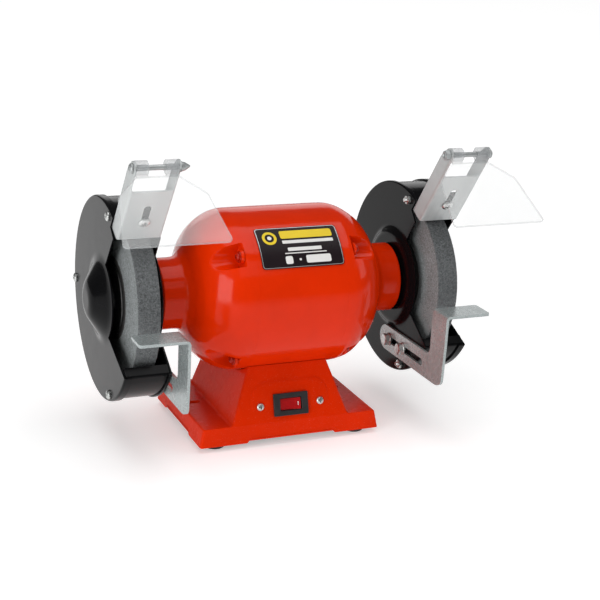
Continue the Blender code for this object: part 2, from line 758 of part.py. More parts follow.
def make_cover_bolts():
    """Three long screws hold each cover to its plate, through the guard, with a nut on the motor's side."""
    places = ("top", "rear", "bottom")
    for name, side in SIDES:
        for place_name, (y, z) in zip(places, COVER_SCREWS):
            head = COVER_FACE + GAP
            tail = PLATE_FACE - GAP
            turned(
                "cover_bolt_" + name + "_" + place_name,
                [
                    (side * (head + 2.6), 0), (side * (head + 2.2), 3.0), (side * head, 4.2),
                    (side * head, 2.1), (side * tail, 2.1), (side * tail, 4.0), (side * (tail - 3.4), 4.0),
                    (side * (tail - 3.4), 2.1), (side * (tail - 6.0), 2.0), (side * (tail - 6.0), 0),
                ],
                STEEL, (0, y, z), steps=8,
            )


# ---- eye shields ----

WEB_FRAMES = {}
ROD_FRAMES = {}
BRACKET_BOLT = 101.5
for side_name, side_sign in SIDES:
    # Local Z runs straight out from the shaft along the bracket's web, and local Y points backwards.
    WEB_FRAMES[side_name] = empty(
        "bracket_frame_" + side_name, (side_sign * BRACKET_CENTRE, 0, 0), SHAFT, (90 - WEB_ANGLE, 0, 0)
    )
    # Local X runs along the rod, which the shield turns about, and local -Y runs down the shield.
    ROD_FRAMES[side_name] = empty(
        "rod_frame_" + side_name, (side_sign * BRACKET_CENTRE, -ROD_FORWARD, ROD_ABOVE), SHAFT,
        (SHIELD_TILT, 0, 0),
    )


def rod_in_web_frame():
    turn = math.radians(WEB_ANGLE)
    out = ROD_FORWARD * math.cos(turn) + ROD_ABOVE * math.sin(turn)
    behind = -ROD_FORWARD * math.sin(turn) + ROD_ABOVE * math.cos(turn)
    return behind, out


def make_brackets():
    """A channel of bent sheet: a web with a slot, and two side flanges that rise past it to hold the rod."""
    half = BRACKET_INSIDE / 2
    behind, out = rod_in_web_frame()
    tip = 6.0
    back = WEB_FRONT + BRACKET_DEPTH
    flange = [(WEB_FRONT, WEB_BOTTOM), (back, WEB_BOTTOM - 2.5), (back, out - 9.0)]
    flange += shifted(arc((0, 0), tip, 25, 180, 8), behind, out)
    web_outline = [(-half - 0.4, WEB_BOTTOM), (half + 0.4, WEB_BOTTOM), (half + 0.4, WEB_TOP), (-half - 0.4, WEB_TOP)]
    slot = [(x, z) for z, x in slot_outline(BRACKET_BOLT - 3.6, BRACKET_BOLT + 20, 3.1)]
    web_middle = WEB_FRONT + BRACKET_SHEET / 2
    rod_hole = circle((behind, out), ROD_RADIUS + GAP, 16)
    for name, side in SIDES:
        frame = WEB_FRAMES[name]
        bracket = prism(
            "shield_bracket_" + name, [web_outline, slot], BRACKET_SHEET, ZINC, (0, web_middle, 0), frame, ALONG_Y
        )
        for end in (-1, 1):
            ear = prism(
                "bracket_flange_" + name, [flange, rod_hole], BRACKET_SHEET, ZINC,
                (end * (half + BRACKET_SHEET / 2), 0, 0), frame, ALONG_X, cutter=True,
            )
            combine(bracket, ear, "UNION")
        front = WEB_FRONT - GAP
        nut_face = WEB_FRONT + BRACKET_SHEET + GAP + 2.0 + GAP
        turned(
            "bracket_bolt_" + name,
            [
                (-nut_face - 6, 0), (-nut_face - 6, 2.4), (-nut_face - 4, 2.4), (-nut_face - 4, 4.4),
                (-nut_face, 4.4), (-nut_face, 2.4), (-front, 2.4), (-front, 5.0), (-front + 3.4, 4.4),
                (-front + 3.4, 0),
            ],
            STEEL, (0, 0, BRACKET_BOLT), frame, ALONG_Y, 10,
        )


def make_rods():
    """The rod that the shield hangs on, with a screw head outside and a domed nut inside."""
    half = BRACKET_INSIDE / 2 + BRACKET_SHEET + GAP
    for name, side in SIDES:
        turned(
            "shield_rod_" + name,
            [
                (side * (half + 3.2), 0), (side * (half + 2.6), 2.8), (side * half, 4.2), (side * half, ROD_RADIUS),
                (-side * half, ROD_RADIUS), (-side * half, 4.4), (-side * (half + 4.2), 4.2),
                (-side * (half + 8.4), 1.4), (-side * (half + 8.8), 0),
            ],
            ZINC, (0, 0, 0), ROD_FRAMES[name], ALONG_X, 12,
        )


def make_shields():
    """A clear plate that widens from its two hinge loops to a broad lower edge."""
    offset = -3.4
    reach = 78.5
    top = 6.6
    outline = [
        (-18.6, -top), (-37.5, -top - 20.5), (-44.8, -reach + 2.0), (-43.0, -reach), (43.0, -reach),
        (44.8, -reach + 2.0), (37.5, -top - 20.5), (18.6, -top),
    ]
    loop_width = 10.4
    loop_radius = 6.4
    inner = ROD_RADIUS + GAP + 0.1
    for name, side in SIDES:
        frame = ROD_FRAMES[name]
        shield = prism(
            "eye_shield_" + name, [outline], SHIELD_THICKNESS, CLEAR, (0, 0, offset), frame, ALONG_Z
        )
        for end in (-1, 1):
            across = end * (BRACKET_INSIDE / 2 - GAP - loop_width / 2)
            foot = [(-top - 3.0, offset - SHIELD_THICKNESS / 2), (-top - 3.0, offset + SHIELD_THICKNESS / 2)]
            loop_outline = foot + arc((0, 0), loop_radius, 200, -133, 15)
            loop = prism(
                "shield_loop_" + name, [loop_outline, circle((0, 0), inner, 14)], loop_width, CLEAR,
                (across, 0, 0), frame, ALONG_X, cutter=True,
            )
            combine(shield, loop, "UNION")


# ---- tool rests ----


def make_rests():
    """A bent steel rest: a slotted arm along the guard, a leg that rises in front, and the table across it."""
    bottom = -73.6
    arm_top = -49.2
    leg_front = -116.4
    leg_back = -90.6
    table_low = REST_TABLE_TOP - REST_SHEET
    outline = [(leg_back, table_low + 1), (leg_front, table_low + 1)]
    outline += [(leg_front + 0.8, -52.0)]
    outline += arc((-101.5, bottom + 13.0), 13.0, 180, 270, 6)
    outline += [(-2.0, bottom)]
    outline += arc((-2.4, (bottom + arm_top) / 2), (arm_top - bottom) / 2, -80, 80, 8)
    outline += [(-2.0, arm_top)]
    outline += arc((-82.6, arm_top + 8.0), 8.0, 270, 180, 5)
    slot = shifted(slot_outline(-78.0 + 3.4, -3.0 - 3.4, 3.4), 0, REST_SLOT_HEIGHT)
    middle = PLATE_FACE - GAP - REST_SHEET / 2
    for name, side in SIDES:
        rest = prism(
            "tool_rest_" + name, [outline, slot], REST_SHEET, ZINC, (side * middle, 0, 0), facing=ALONG_X
        )
        near = side * (middle - REST_SHEET / 2)
        far = side * 164.4
        table = box(
            "rest_table_" + name, (min(near, far), leg_front, table_low), (max(near, far), leg_back, REST_TABLE_TOP),
            ZINC, cutter=True,
        )
        combine(rest, table, "UNION")
        for place_name, y in zip(("rear", "front"), REST_BOLTS):
            head = PLATE_FACE - 2 * GAP - REST_SHEET
            turned(
                "rest_bolt_" + name + "_" + place_name,
                [
                    (side * (head - 5.6), 0), (side * (head - 5.6), 5.6), (side * (head - 1.4), 5.6),
                    (side * (head - 1.4), 6.4), (side * head, 6.4), (side * head, 3.0),
                    (side * (PLATE_FACE + 5), 3.0), (side * (PLATE_FACE + 5), 0),
                ],
                STEEL, (0, y, REST_SLOT_HEIGHT), steps=12,
            )


make_base()
make_bottom_plate()
make_feet()
make_switch()
make_gland()
make_capacitor()
make_barrel()
make_bells()
make_motor_insides()
make_nameplate()
make_wheels()
make_guard_plates()
make_guard_covers()
make_guard_bands()
make_cover_bolts()
make_brackets()
make_rods()
make_shields()
make_rests()
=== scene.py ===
import math

import bmesh
import bpy
import numpy as np
from mathutils import Matrix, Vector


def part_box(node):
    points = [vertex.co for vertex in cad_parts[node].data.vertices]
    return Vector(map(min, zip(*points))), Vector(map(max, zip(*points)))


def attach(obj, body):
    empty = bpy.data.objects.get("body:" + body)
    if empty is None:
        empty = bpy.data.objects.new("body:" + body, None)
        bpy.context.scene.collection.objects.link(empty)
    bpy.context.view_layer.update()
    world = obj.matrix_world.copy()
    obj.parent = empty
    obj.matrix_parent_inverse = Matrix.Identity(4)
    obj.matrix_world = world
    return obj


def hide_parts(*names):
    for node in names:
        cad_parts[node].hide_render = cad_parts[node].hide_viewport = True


# Bench grinder. Lengths below are in millimetres from the middle of the shaft:
# X runs along the shaft, -Y is towards the user, Z is up.

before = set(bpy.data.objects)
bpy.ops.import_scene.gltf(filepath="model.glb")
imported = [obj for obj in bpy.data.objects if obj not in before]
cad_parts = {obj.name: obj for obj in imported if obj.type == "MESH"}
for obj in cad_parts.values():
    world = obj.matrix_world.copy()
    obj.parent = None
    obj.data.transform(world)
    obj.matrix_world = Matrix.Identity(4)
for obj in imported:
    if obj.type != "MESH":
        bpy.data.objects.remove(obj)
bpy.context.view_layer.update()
millimetre = 0.001
shaftLow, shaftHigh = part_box("motor_shaft")
shaftCentre = np.array([0.0, (shaftLow.y + shaftHigh.y) / 2, (shaftLow.z + shaftHigh.z) / 2])
benchLevel = -shaftCentre[2] / millimetre
sideNames = (("left", -1), ("right", 1))
rng = np.random.default_rng(7)

print("stage: shape tools")


def smoothStep(low, high, value):  # 0 below low, 1 above high, an S-curve between
    t = np.clip((value - low) / (high - low), 0.0, 1.0)
    return t * t * (3 - 2 * t)


def softMin(a, b, width):  # the smaller of two values, with the corner between them rounded over a width
    h = np.clip(0.5 + 0.5 * (b - a) / width, 0.0, 1.0)
    return b + (a - b) * h - width * h * (1 - h)


def tilted(origin, degrees):  # a frame that is turned about X and moved to a point
    turn = math.radians(degrees)
    c, s = math.cos(turn), math.sin(turn)
    return np.array([[1, 0, 0, origin[0]], [0, c, -s, origin[1]], [0, s, c, origin[2]], [0, 0, 0, 1.0]])


def facingX(x, y=0.0, z=0.0, sign=1):  # a frame whose own Z points along the shaft
    if sign > 0:
        return np.array([[0, 0, 1, x], [1, 0, 0, y], [0, 1, 0, z], [0, 0, 0, 1.0]])
    return np.array([[0, 0, -1, x], [0, 1, 0, y], [1, 0, 0, z], [0, 0, 0, 1.0]])


def facingY(x, y, z, sign=1):  # a frame whose own Z points forwards or backwards
    if sign > 0:
        return np.array([[1, 0, 0, x], [0, 0, 1, y], [0, -1, 0, z], [0, 0, 0, 1.0]])
    return np.array([[1, 0, 0, x], [0, 0, -1, y], [0, 1, 0, z], [0, 0, 0, 1.0]])


def upright(x, y, z):
    return np.array([[1, 0, 0, x], [0, 1, 0, y], [0, 0, 1, z], [0, 0, 0, 1.0]])


def mapped(shape, matrix):
    points, faces = shape
    return points @ matrix[:3, :3].T + matrix[:3, 3], faces


def mirrored(shape, side):
    points, faces = shape
    if side > 0:
        return shape
    return points * np.array([-1.0, 1.0, 1.0]), [tuple(face)[::-1] for face in faces]


def joined(*shapes):
    points, faces, start = [], [], 0
    for p, f in shapes:
        points.append(p)
        faces += [tuple(int(i) + start for i in face) for face in f]
        start += len(p)
    return np.concatenate(points), faces


def gridFaces(rows, columns, wrapRows=False, wrapColumns=False, start=0):  # quads between neighbours on a grid
    i = np.arange(rows if wrapRows else rows - 1)[:, None]
    j = np.arange(columns if wrapColumns else columns - 1)[None, :]
    down, over = (i + 1) % rows, (j + 1) % columns
    quads = np.stack([i * columns + j, i * columns + over, down * columns + over, down * columns + j], -1)
    return (quads.reshape(-1, 4) + start).tolist()


def rounded(corners, closed=False, steps=5):
    # Corners are (a, b, trim): each is cut back by its trim and bridged by a parabola.
    flat = np.array([corner[:-1] for corner in corners], float)
    trims = [corner[-1] for corner in corners]
    count = len(flat)
    t = np.linspace(0, 1, steps + 1)[:, None]
    parts = []
    for k in range(count):
        if trims[k] <= 0 or (not closed and k in (0, count - 1)):
            parts.append(flat[k][None, :])
            continue
        before, after = flat[k - 1] - flat[k], flat[(k + 1) % count] - flat[k]
        a, b = np.linalg.norm(before), np.linalg.norm(after)
        p = flat[k] + before / a * min(trims[k], 0.49 * a)
        q = flat[k] + after / b * min(trims[k], 0.49 * b)
        parts.append((1 - t) ** 2 * p + 2 * t * (1 - t) * flat[k] + t ** 2 * q)
    return np.concatenate(parts)


def refined(path, spacing):  # more points along a path, none further apart than the spacing
    gaps = np.linalg.norm(np.diff(path, axis=0), axis=1)
    parts = [
        path[k] + (path[k + 1] - path[k]) * np.linspace(0, 1, max(1, int(gap / spacing)) + 1)[:-1, None]
        for k, gap in enumerate(gaps)
    ]
    return np.concatenate(parts + [path[-1:]])


def curveThrough(points, count):  # Catmull-Rom spline: passes through every point, evenly spaced by length
    p = np.array(points, float)
    p = np.concatenate([2 * p[:1] - p[1:2], p, 2 * p[-1:] - p[-2:-1]])
    t = np.linspace(0, 1, 24, endpoint=False)[:, None]
    parts = []
    for k in range(1, len(p) - 2):
        a, b, c, d = p[k - 1], p[k], p[k + 1], p[k + 2]
        square, cube = 2 * a - 5 * b + 4 * c - d, 3 * b - a - 3 * c + d
        parts.append(0.5 * (2 * b + (c - a) * t + square * t ** 2 + cube * t ** 3))
    dense = np.concatenate(parts + [p[-2:-1]])
    length = np.concatenate([[0], np.cumsum(np.linalg.norm(np.diff(dense, axis=0), axis=1))])
    wanted = np.linspace(0, length[-1], count)
    return np.stack([np.interp(wanted, length, dense[:, axis]) for axis in range(dense.shape[1])], 1)


def turnedGrid(profile, columns):  # a profile of (along, radius) turned about its own Z, a row for each point
    profile = np.asarray(profile, float)
    angle = np.linspace(0, 2 * np.pi, columns, endpoint=False)
    along, radius = profile[:, :1], profile[:, 1:2]
    return np.stack([radius * np.cos(angle), radius * np.sin(angle), along + 0 * angle], -1)


def turned(profile, columns=96, closed=False):
    grid = turnedGrid(profile, columns)
    rows, count = grid.shape[:2]
    return grid.reshape(-1, 3), gridFaces(rows, count, wrapRows=closed, wrapColumns=True)


def circleOutline(x, y, radius, steps=32):
    angle = np.linspace(0, 2 * np.pi, steps, endpoint=False)
    return np.stack([x + radius * np.cos(angle), y + radius * np.sin(angle)], 1)


def arcPoints(x, y, radius, start, end, steps=10):
    angle = np.radians(np.linspace(start, end, steps + 1))
    return np.stack([x + radius * np.cos(angle), y + radius * np.sin(angle)], 1)


def slotPoints(x, y, halfLength, radius, upwards=False):  # a slot's outline, lying or upright
    outline = np.concatenate([
        arcPoints(halfLength, 0, radius, -90, 90), arcPoints(-halfLength, 0, radius, 90, 270),
    ])
    return (outline[:, ::-1] if upwards else outline) + np.array([x, y])


def boxOutline(halfX, halfY, corner, x=0.0, y=0.0):
    corners = [(a * halfX, b * halfY, corner) for a, b in ((1, -1), (1, 1), (-1, 1), (-1, -1))]
    return rounded(corners, closed=True) + np.array([x, y])


def filled(outlines, depth=0.0, edge=0.0):
    # A flat outline with holes in its own XY plane, with a depth and rounded rims where they are asked for.
    curve = bpy.data.curves.new("outline", "CURVE")
    curve.dimensions = "2D"
    curve.fill_mode = "BOTH" if depth else "FRONT"
    curve.resolution_u = 1
    if depth:
        curve.extrude = depth / 2 - edge
        curve.bevel_depth = edge
        curve.bevel_resolution = 2
        curve.offset = -edge
    for outline in outlines:
        spline = curve.splines.new("POLY")
        spline.points.add(len(outline) - 1)
        flat = np.zeros((len(outline), 4))
        flat[:, :2] = outline
        flat[:, 3] = 1
        spline.points.foreach_set("co", flat.ravel())
        spline.use_cyclic_u = True
    holder = linked("outline", curve)
    mesh = evaluated(holder)
    bpy.data.objects.remove(holder)
    bpy.data.curves.remove(curve)
    work = bmesh.new()
    work.from_mesh(mesh)
    bmesh.ops.remove_doubles(work, verts=work.verts, dist=0.001)
    bmesh.ops.recalc_face_normals(work, faces=work.faces)
    shape = shapeOf(work)
    work.free()
    bpy.data.meshes.remove(mesh)
    return shape


def shapeOf(work):
    work.verts.index_update()
    points = np.array([v.co[:] for v in work.verts])
    return points, [tuple(v.index for v in face.verts) for face in work.faces]


def sliced(shape, axis, places):  # cuts a shape's faces along straight lines, so that it can be bent there
    points, faces = shape
    work = bmesh.new()
    made = [work.verts.new(p) for p in points]
    for face in faces:
        work.faces.new([made[i] for i in face])
    normal = [0.0, 0.0, 0.0]
    normal[axis] = 1.0
    for place in places:
        spot = [place * n for n in normal]
        geometry = list(work.verts) + list(work.edges) + list(work.faces)
        bmesh.ops.bisect_plane(work, geom=geometry, dist=0.0005, plane_co=spot, plane_no=normal)
    result = shapeOf(work)
    work.free()
    return result


def folded(distance, radius):
    # A quarter bend: the distance past its start becomes (across, along) of a plate that turns by 90 degrees.
    length = radius * np.pi / 2
    angle = np.clip(distance / radius, 0, np.pi / 2)
    past = np.maximum(distance - length, 0)
    before = np.minimum(distance, 0)
    return before + radius * np.sin(angle), radius * (1 - np.cos(angle)) + past


def bendPlaces(start, radius, steps=8):
    return start + np.linspace(0, radius * np.pi / 2, steps + 1)


def linked(name, data):  # an object made round its data and put into the scene
    made = bpy.data.objects.new(name, data)
    bpy.context.scene.collection.objects.link(made)
    return made


def meshFrom(shape, name, weld=0.0, closed=True):  # a shape as a mesh in metres, with its near points welded
    points, faces = shape
    mesh = bpy.data.meshes.new(name)
    mesh.from_pydata((points * millimetre + shaftCentre).tolist(), [], faces)
    work = bmesh.new()
    work.from_mesh(mesh)
    if weld:
        bmesh.ops.remove_doubles(work, verts=work.verts, dist=weld * millimetre)
        bmesh.ops.dissolve_degenerate(work, edges=work.edges, dist=1e-7)
    if closed:
        bmesh.ops.recalc_face_normals(work, faces=work.faces)
    work.to_mesh(mesh)
    work.free()
    return mesh


def evaluated(piece):  # a new mesh with the piece's modifiers worked in
    bpy.context.view_layer.update()
    return bpy.data.meshes.new_from_object(piece.evaluated_get(bpy.context.evaluated_depsgraph_get()))


def workIn(piece):  # swaps the piece's mesh for one with its modifiers worked in
    before, name = piece.data, piece.data.name
    after = evaluated(piece)
    piece.modifiers.clear()
    piece.data = after
    bpy.data.meshes.remove(before)
    after.name = name


def smoothed(piece, sharp):  # smooth shading that breaks at edges sharper than an angle in degrees
    piece.data.shade_smooth()
    piece.data.set_sharp_from_angle(angle=math.radians(sharp))
    even = piece.modifiers.new("even", "WEIGHTED_NORMAL")
    even.keep_sharp = True


def addPiece(name, shape, material, body, nodes=(), sheet=0.0, facing=None, edge=0.0, closed=True,
             sharp=35, cutters=(), weld=0.002):
    # Puts a shape into a mesh in metres, finishes it with modifiers, and hands it to its body.
    mesh = meshFrom(shape, name, weld, closed)
    if facing is not None:
        total = sum((polygon.normal * polygon.area for polygon in mesh.polygons), mesh.polygons[0].normal * 0)
        if total.dot(Matrix.Identity(3) @ type(total)(facing)) < 0:
            mesh.flip_normals()
    piece = linked(name, mesh)
    for k, cutter in enumerate(cutters):
        cut = piece.modifiers.new("cut" + str(k), "BOOLEAN")
        cut.operation = "DIFFERENCE"
        cut.solver = "EXACT"
        cut.object = cutter
    if sheet:
        wall = piece.modifiers.new("wall", "SOLIDIFY")
        wall.thickness = sheet * millimetre
        wall.offset = -1
        wall.use_even_offset = True
    if edge:
        bevel = piece.modifiers.new("edge", "BEVEL")
        bevel.width = edge * millimetre
        bevel.segments = 2
        bevel.limit_method = "ANGLE"
        bevel.angle_limit = math.radians(50)
        bevel.use_clamp_overlap = True
    if cutters or sheet or edge:
        workIn(piece)
    piece.data.materials.clear()
    piece.data.materials.append(material)
    smoothed(piece, sharp)
    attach(piece, body)
    if nodes:
        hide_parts(*nodes)
    return piece


def cutterFrom(shape, name):  # a passing object for a boolean modifier
    return linked(name, meshFrom(shape, name))


print("stage: finishes")


class finishNodes:
    # The node tree of one finish, with its patterns laid on Object coordinates, in metres.

    def __init__(self, name):
        self.material = bpy.data.materials.new(name)
        self.material.use_nodes = True
        self.nodes = self.material.node_tree.nodes
        self.links = self.material.node_tree.links
        self.shader = self.nodes["Principled BSDF"]
        self.place = self.nodes.new("ShaderNodeTexCoord").outputs["Object"]

    def node(self, kind, **values):
        made = self.nodes.new(kind)
        for key, value in values.items():
            setattr(made, key, value)
        return made

    def stretched(self, scale):
        mapping = self.node("ShaderNodeMapping")
        mapping.inputs["Scale"].default_value = scale
        self.links.new(self.place, mapping.inputs["Vector"])
        return mapping.outputs["Vector"]

    def noise(self, scale, detail=3.0, rough=0.5, stretch=None):
        made = self.node("ShaderNodeTexNoise")
        made.inputs["Scale"].default_value = scale
        made.inputs["Detail"].default_value = detail
        made.inputs["Roughness"].default_value = rough
        self.links.new(self.stretched(stretch) if stretch else self.place, made.inputs["Vector"])
        return made.outputs["Fac"]

    def cells(self, scale):
        made = self.node("ShaderNodeTexVoronoi")
        made.inputs["Scale"].default_value = scale
        self.links.new(self.place, made.inputs["Vector"])
        return made.outputs

    def ranged(self, value, low, high, toLow, toHigh):
        made = self.node("ShaderNodeMapRange")
        for key, number in (("From Min", low), ("From Max", high), ("To Min", toLow), ("To Max", toHigh)):
            made.inputs[key].default_value = number
        self.links.new(value, made.inputs["Value"])
        return made.outputs["Result"]

    def mixed(self, factor, first, second):
        made = self.node("ShaderNodeMix", data_type="RGBA")
        self.links.new(factor, made.inputs["Factor"])
        for key, value in (("A", first), ("B", second)):
            socket = [s for s in made.inputs if s.name == key and s.type == "RGBA"][0]
            if isinstance(value, tuple):
                socket.default_value = (*value, 1.0)
            else:
                self.links.new(value, socket)
        return [s for s in made.outputs if s.type == "RGBA"][0]

    def multiplied(self, first, second):
        made = self.node("ShaderNodeMix", data_type="RGBA", blend_type="MULTIPLY")
        made.inputs["Factor"].default_value = 1.0
        for key, value in (("A", first), ("B", second)):
            self.links.new(value, [s for s in made.inputs if s.name == key and s.type == "RGBA"][0])
        return [s for s in made.outputs if s.type == "RGBA"][0]

    def bumped(self, height, depth, after=None):
        made = self.node("ShaderNodeBump")
        made.inputs["Strength"].default_value = 1.0
        made.inputs["Distance"].default_value = depth * millimetre
        self.links.new(height, made.inputs["Height"])
        if after:
            self.links.new(after, made.inputs["Normal"])
        return made.outputs["Normal"]

    def colour(self, value):
        self.links.new(value, self.shader.inputs["Base Color"])

    def roughness(self, value):
        self.links.new(value, self.shader.inputs["Roughness"])

    def normal(self, value):
        self.links.new(value, self.shader.inputs["Normal"])

    def set(self, **values):
        for key, value in values.items():
            self.shader.inputs[key.replace("_", " ")].default_value = value


def shade(colour, factor):
    return tuple(min(1.0, c * factor) for c in colour)


def enamel(name, colour, gloss, peel, peelScale=420.0, specks=0.0, level=0.3):
    # Sprayed paint: a slow drift of tone, a fine orange peel, and tiny lighter specks where the coat is thin.
    f = finishNodes(name)
    drift = f.noise(22.0, 4.0, 0.6)
    tone = f.mixed(f.ranged(drift, 0.3, 0.7, 0.0, 1.0), shade(colour, 0.93), shade(colour, 1.05))
    if specks:
        dots = f.ranged(f.noise(1500.0, 2.0, 0.5), 0.66, 0.74, 0.0, specks)
        tone = f.mixed(dots, tone, tuple(min(1.0, c * 0.75 + 0.22) for c in colour))
    f.colour(tone)
    f.roughness(f.ranged(f.noise(60.0, 5.0, 0.65), 0.25, 0.75, gloss - 0.05, gloss + 0.06))
    wide = f.bumped(f.noise(peelScale, 2.0, 0.5), peel)
    f.normal(f.bumped(f.noise(peelScale * 5, 2.0, 0.5), peel * 0.12, wide))
    f.set(Specular_IOR_Level=level)
    return f.material


def sheetMetal(name, colour, gloss, grain, stretch, mottle=0.10, metal=1.0):
    # Plated or rolled sheet: cloudy plating, fine rolling lines along one direction, and a few dull spots.
    f = finishNodes(name)
    cloud = f.ranged(f.noise(90.0, 6.0, 0.7), 0.3, 0.7, 0.0, 1.0)
    tone = f.mixed(cloud, shade(colour, 1 - mottle), shade(colour, 1 + mottle))
    lines = f.noise(260.0, 4.0, 0.65, stretch)
    tone = f.mixed(f.ranged(lines, 0.42, 0.62, 0.0, 0.55), tone, shade(colour, 1 - 2.2 * mottle))
    f.colour(tone)
    f.roughness(f.ranged(f.noise(140.0, 5.0, 0.7), 0.25, 0.75, gloss - 0.08, gloss + 0.10))
    fine = f.bumped(lines, grain)
    f.normal(f.bumped(f.noise(900.0, 3.0, 0.6), grain * 0.6, fine))
    f.set(Metallic=metal)
    return f.material


def machined(name, colour, gloss, grain=0.012):
    # Turned steel: bright with faint marks all round and small dull stains.
    f = finishNodes(name)
    stain = f.ranged(f.noise(320.0, 5.0, 0.7), 0.35, 0.68, 0.0, 1.0)
    f.colour(f.mixed(stain, shade(colour, 1.06), shade(colour, 0.72)))
    f.roughness(f.ranged(f.noise(500.0, 4.0, 0.6), 0.3, 0.7, gloss - 0.07, gloss + 0.12))
    f.normal(f.bumped(f.noise(1800.0, 3.0, 0.6), grain))
    f.set(Metallic=1.0)
    return f.material


def gritStone(name, dark, light, cell, depth, cloudy):
    # Bonded grit: packed grains of several greys, dark pores between them, and cloudy worn patches.
    f = finishNodes(name)
    grains = f.cells(cell)
    tone = f.mixed(f.ranged(f.noise(cell * 0.9, 3.0, 0.6), 0.3, 0.7, 0.0, 1.0), dark, light)
    pores = f.ranged(f.noise(cell * 0.45, 4.0, 0.7), 0.56, 0.66, 0.0, 0.75)
    tone = f.mixed(pores, tone, shade(dark, 0.35))
    sparks = f.ranged(f.noise(cell * 1.3, 2.0, 0.5), 0.66, 0.72, 0.0, 0.8)
    tone = f.mixed(sparks, tone, shade(light, 1.9))
    worn = f.ranged(f.noise(35.0, 5.0, 0.65), 0.4, 0.7, 0.0, cloudy)
    tone = f.mixed(worn, tone, shade(light, 1.25))
    # The rim is painted darker than the sides, as painted shade for the shade it sits in under the guard's
    # band: the distance from the shaft's line decides.
    split = f.node("ShaderNodeSeparateXYZ")
    f.links.new(f.place, split.inputs["Vector"])
    flat = f.node("ShaderNodeCombineXYZ")
    for axis, centre in (("Y", shaftCentre[1]), ("Z", shaftCentre[2])):
        moved = f.node("ShaderNodeMath", operation="SUBTRACT")
        moved.inputs[1].default_value = centre
        f.links.new(split.outputs[axis], moved.inputs[0])
        f.links.new(moved.outputs["Value"], flat.inputs[axis])
    reach = f.node("ShaderNodeVectorMath", operation="LENGTH")
    f.links.new(flat.outputs["Vector"], reach.inputs[0])
    onRim = f.ranged(reach.outputs["Value"], 73.8 * millimetre, 74.6 * millimetre, 0.0, 1.0)
    # Painted shade: the rim's colour is about half the sides' colour.
    rimShade = f.mixed(onRim, (0.93, 1.0, 1.0), (0.50, 0.53, 0.54))
    f.colour(f.multiplied(tone, rimShade))
    f.roughness(f.ranged(f.noise(200.0, 3.0, 0.5), 0.2, 0.8, 0.82, 0.97))
    bump = f.bumped(grains["Distance"], depth)
    f.normal(f.bumped(f.noise(cell * 0.45, 4.0, 0.7), depth * 0.8, bump))
    return f.material


def moulded(name, colour, gloss, grain, scale=1300.0):
    # Moulded plastic or rubber: an even colour with a fine leather-like tool texture.
    f = finishNodes(name)
    cloud = f.ranged(f.noise(70.0, 4.0, 0.6), 0.3, 0.7, 0.0, 1.0)
    f.colour(f.mixed(cloud, shade(colour, 0.85), shade(colour, 1.2)))
    f.roughness(f.ranged(f.noise(250.0, 4.0, 0.6), 0.3, 0.7, gloss - 0.06, gloss + 0.08))
    f.normal(f.bumped(f.noise(scale, 3.0, 0.6), grain))
    return f.material


def clearSheet(name, colour, see, gloss):
    # Clear acrylic: it lets most light through, with a faint haze and hairline scratches in its gloss.
    f = finishNodes(name)
    haze = f.noise(30.0, 5.0, 0.65)
    f.colour(f.mixed(f.ranged(haze, 0.3, 0.7, 0.0, 1.0), shade(colour, 0.97), colour))
    scratch = f.noise(420.0, 3.0, 0.6, (0.12, 1.0, 1.0))
    f.roughness(f.ranged(scratch, 0.45, 0.75, gloss, gloss + 0.12))
    f.normal(f.bumped(scratch, 0.004))
    f.set(Alpha=see, IOR=1.49)
    return f.material


redEnamel = enamel("redEnamel", (0.73, 0.026, 0.0003), 0.12, 0.003, level=0.16)
redCast = enamel("redCast", (0.72, 0.025, 0.0004), 0.26, 0.022, 520.0, specks=0.5, level=0.04)
screwRed = enamel("screwRed", (0.42, 0.011, 0.002), 0.26, 0.010)
blackEnamel = enamel("blackEnamel", (0.0035, 0.0035, 0.004), 0.16, 0.006, 380.0, level=0.085)
zincSheet = sheetMetal("zincSheet", (0.46, 0.48, 0.48), 0.40, 0.012, (1.0, 0.06, 0.06), 0.06, metal=0.25)
restSheet = sheetMetal("restSheet", (0.38, 0.42, 0.42), 0.26, 0.005, (1.0, 0.3, 0.5), 0.035, metal=0.45)
brightSteel = machined("brightSteel", (0.62, 0.63, 0.62), 0.34)
rodSteel = sheetMetal("rodSteel", (0.42, 0.44, 0.44), 0.36, 0.006, (0.1, 1.0, 1.0), 0.08, metal=0.6)
dullSteel = machined("dullSteel", (0.36, 0.36, 0.36), 0.42)
wheelGrit = gritStone("wheelGrit", (0.075, 0.075, 0.077), (0.34, 0.34, 0.342), 820.0, 0.26, 0.2)
flangeSteel = machined("flangeSteel", (0.10, 0.10, 0.10), 0.40)
wheelPaper = moulded("wheelPaper", (0.028, 0.026, 0.025), 0.75, 0.03, 700.0)
blackPlastic = moulded("blackPlastic", (0.018, 0.018, 0.019), 0.38, 0.012)
redPlastic = moulded("redPlastic", (0.42, 0.004, 0.006), 0.16, 0.004)
softRubber = moulded("softRubber", (0.016, 0.016, 0.016), 0.72, 0.05, 800.0)
clearFace = clearSheet("clearFace", (0.92, 0.94, 0.94), 0.16, 0.04)
clearRim = clearSheet("clearRim", (0.50, 0.52, 0.53), 0.38, 0.05)
plateBlack = enamel("plateBlack", (0.013, 0.008, 0.010), 0.30, 0.003, 700.0, level=0.12)
plateSilver = sheetMetal("plateSilver", (0.62, 0.62, 0.62), 0.35, 0.004, (1.0, 0.1, 0.1), 0.05)
plateYellow = enamel("plateYellow", (0.86, 0.62, 0.01), 0.40, 0.004, 700.0)
plateWhite = enamel("plateWhite", (0.80, 0.79, 0.77), 0.40, 0.004, 700.0)
copperWire = machined("copperWire", (0.55, 0.22, 0.09), 0.35)
laminate = sheetMetal("laminate", (0.30, 0.30, 0.30), 0.5, 0.03, (60.0, 1.0, 1.0), 0.12)

print("stage: motor")

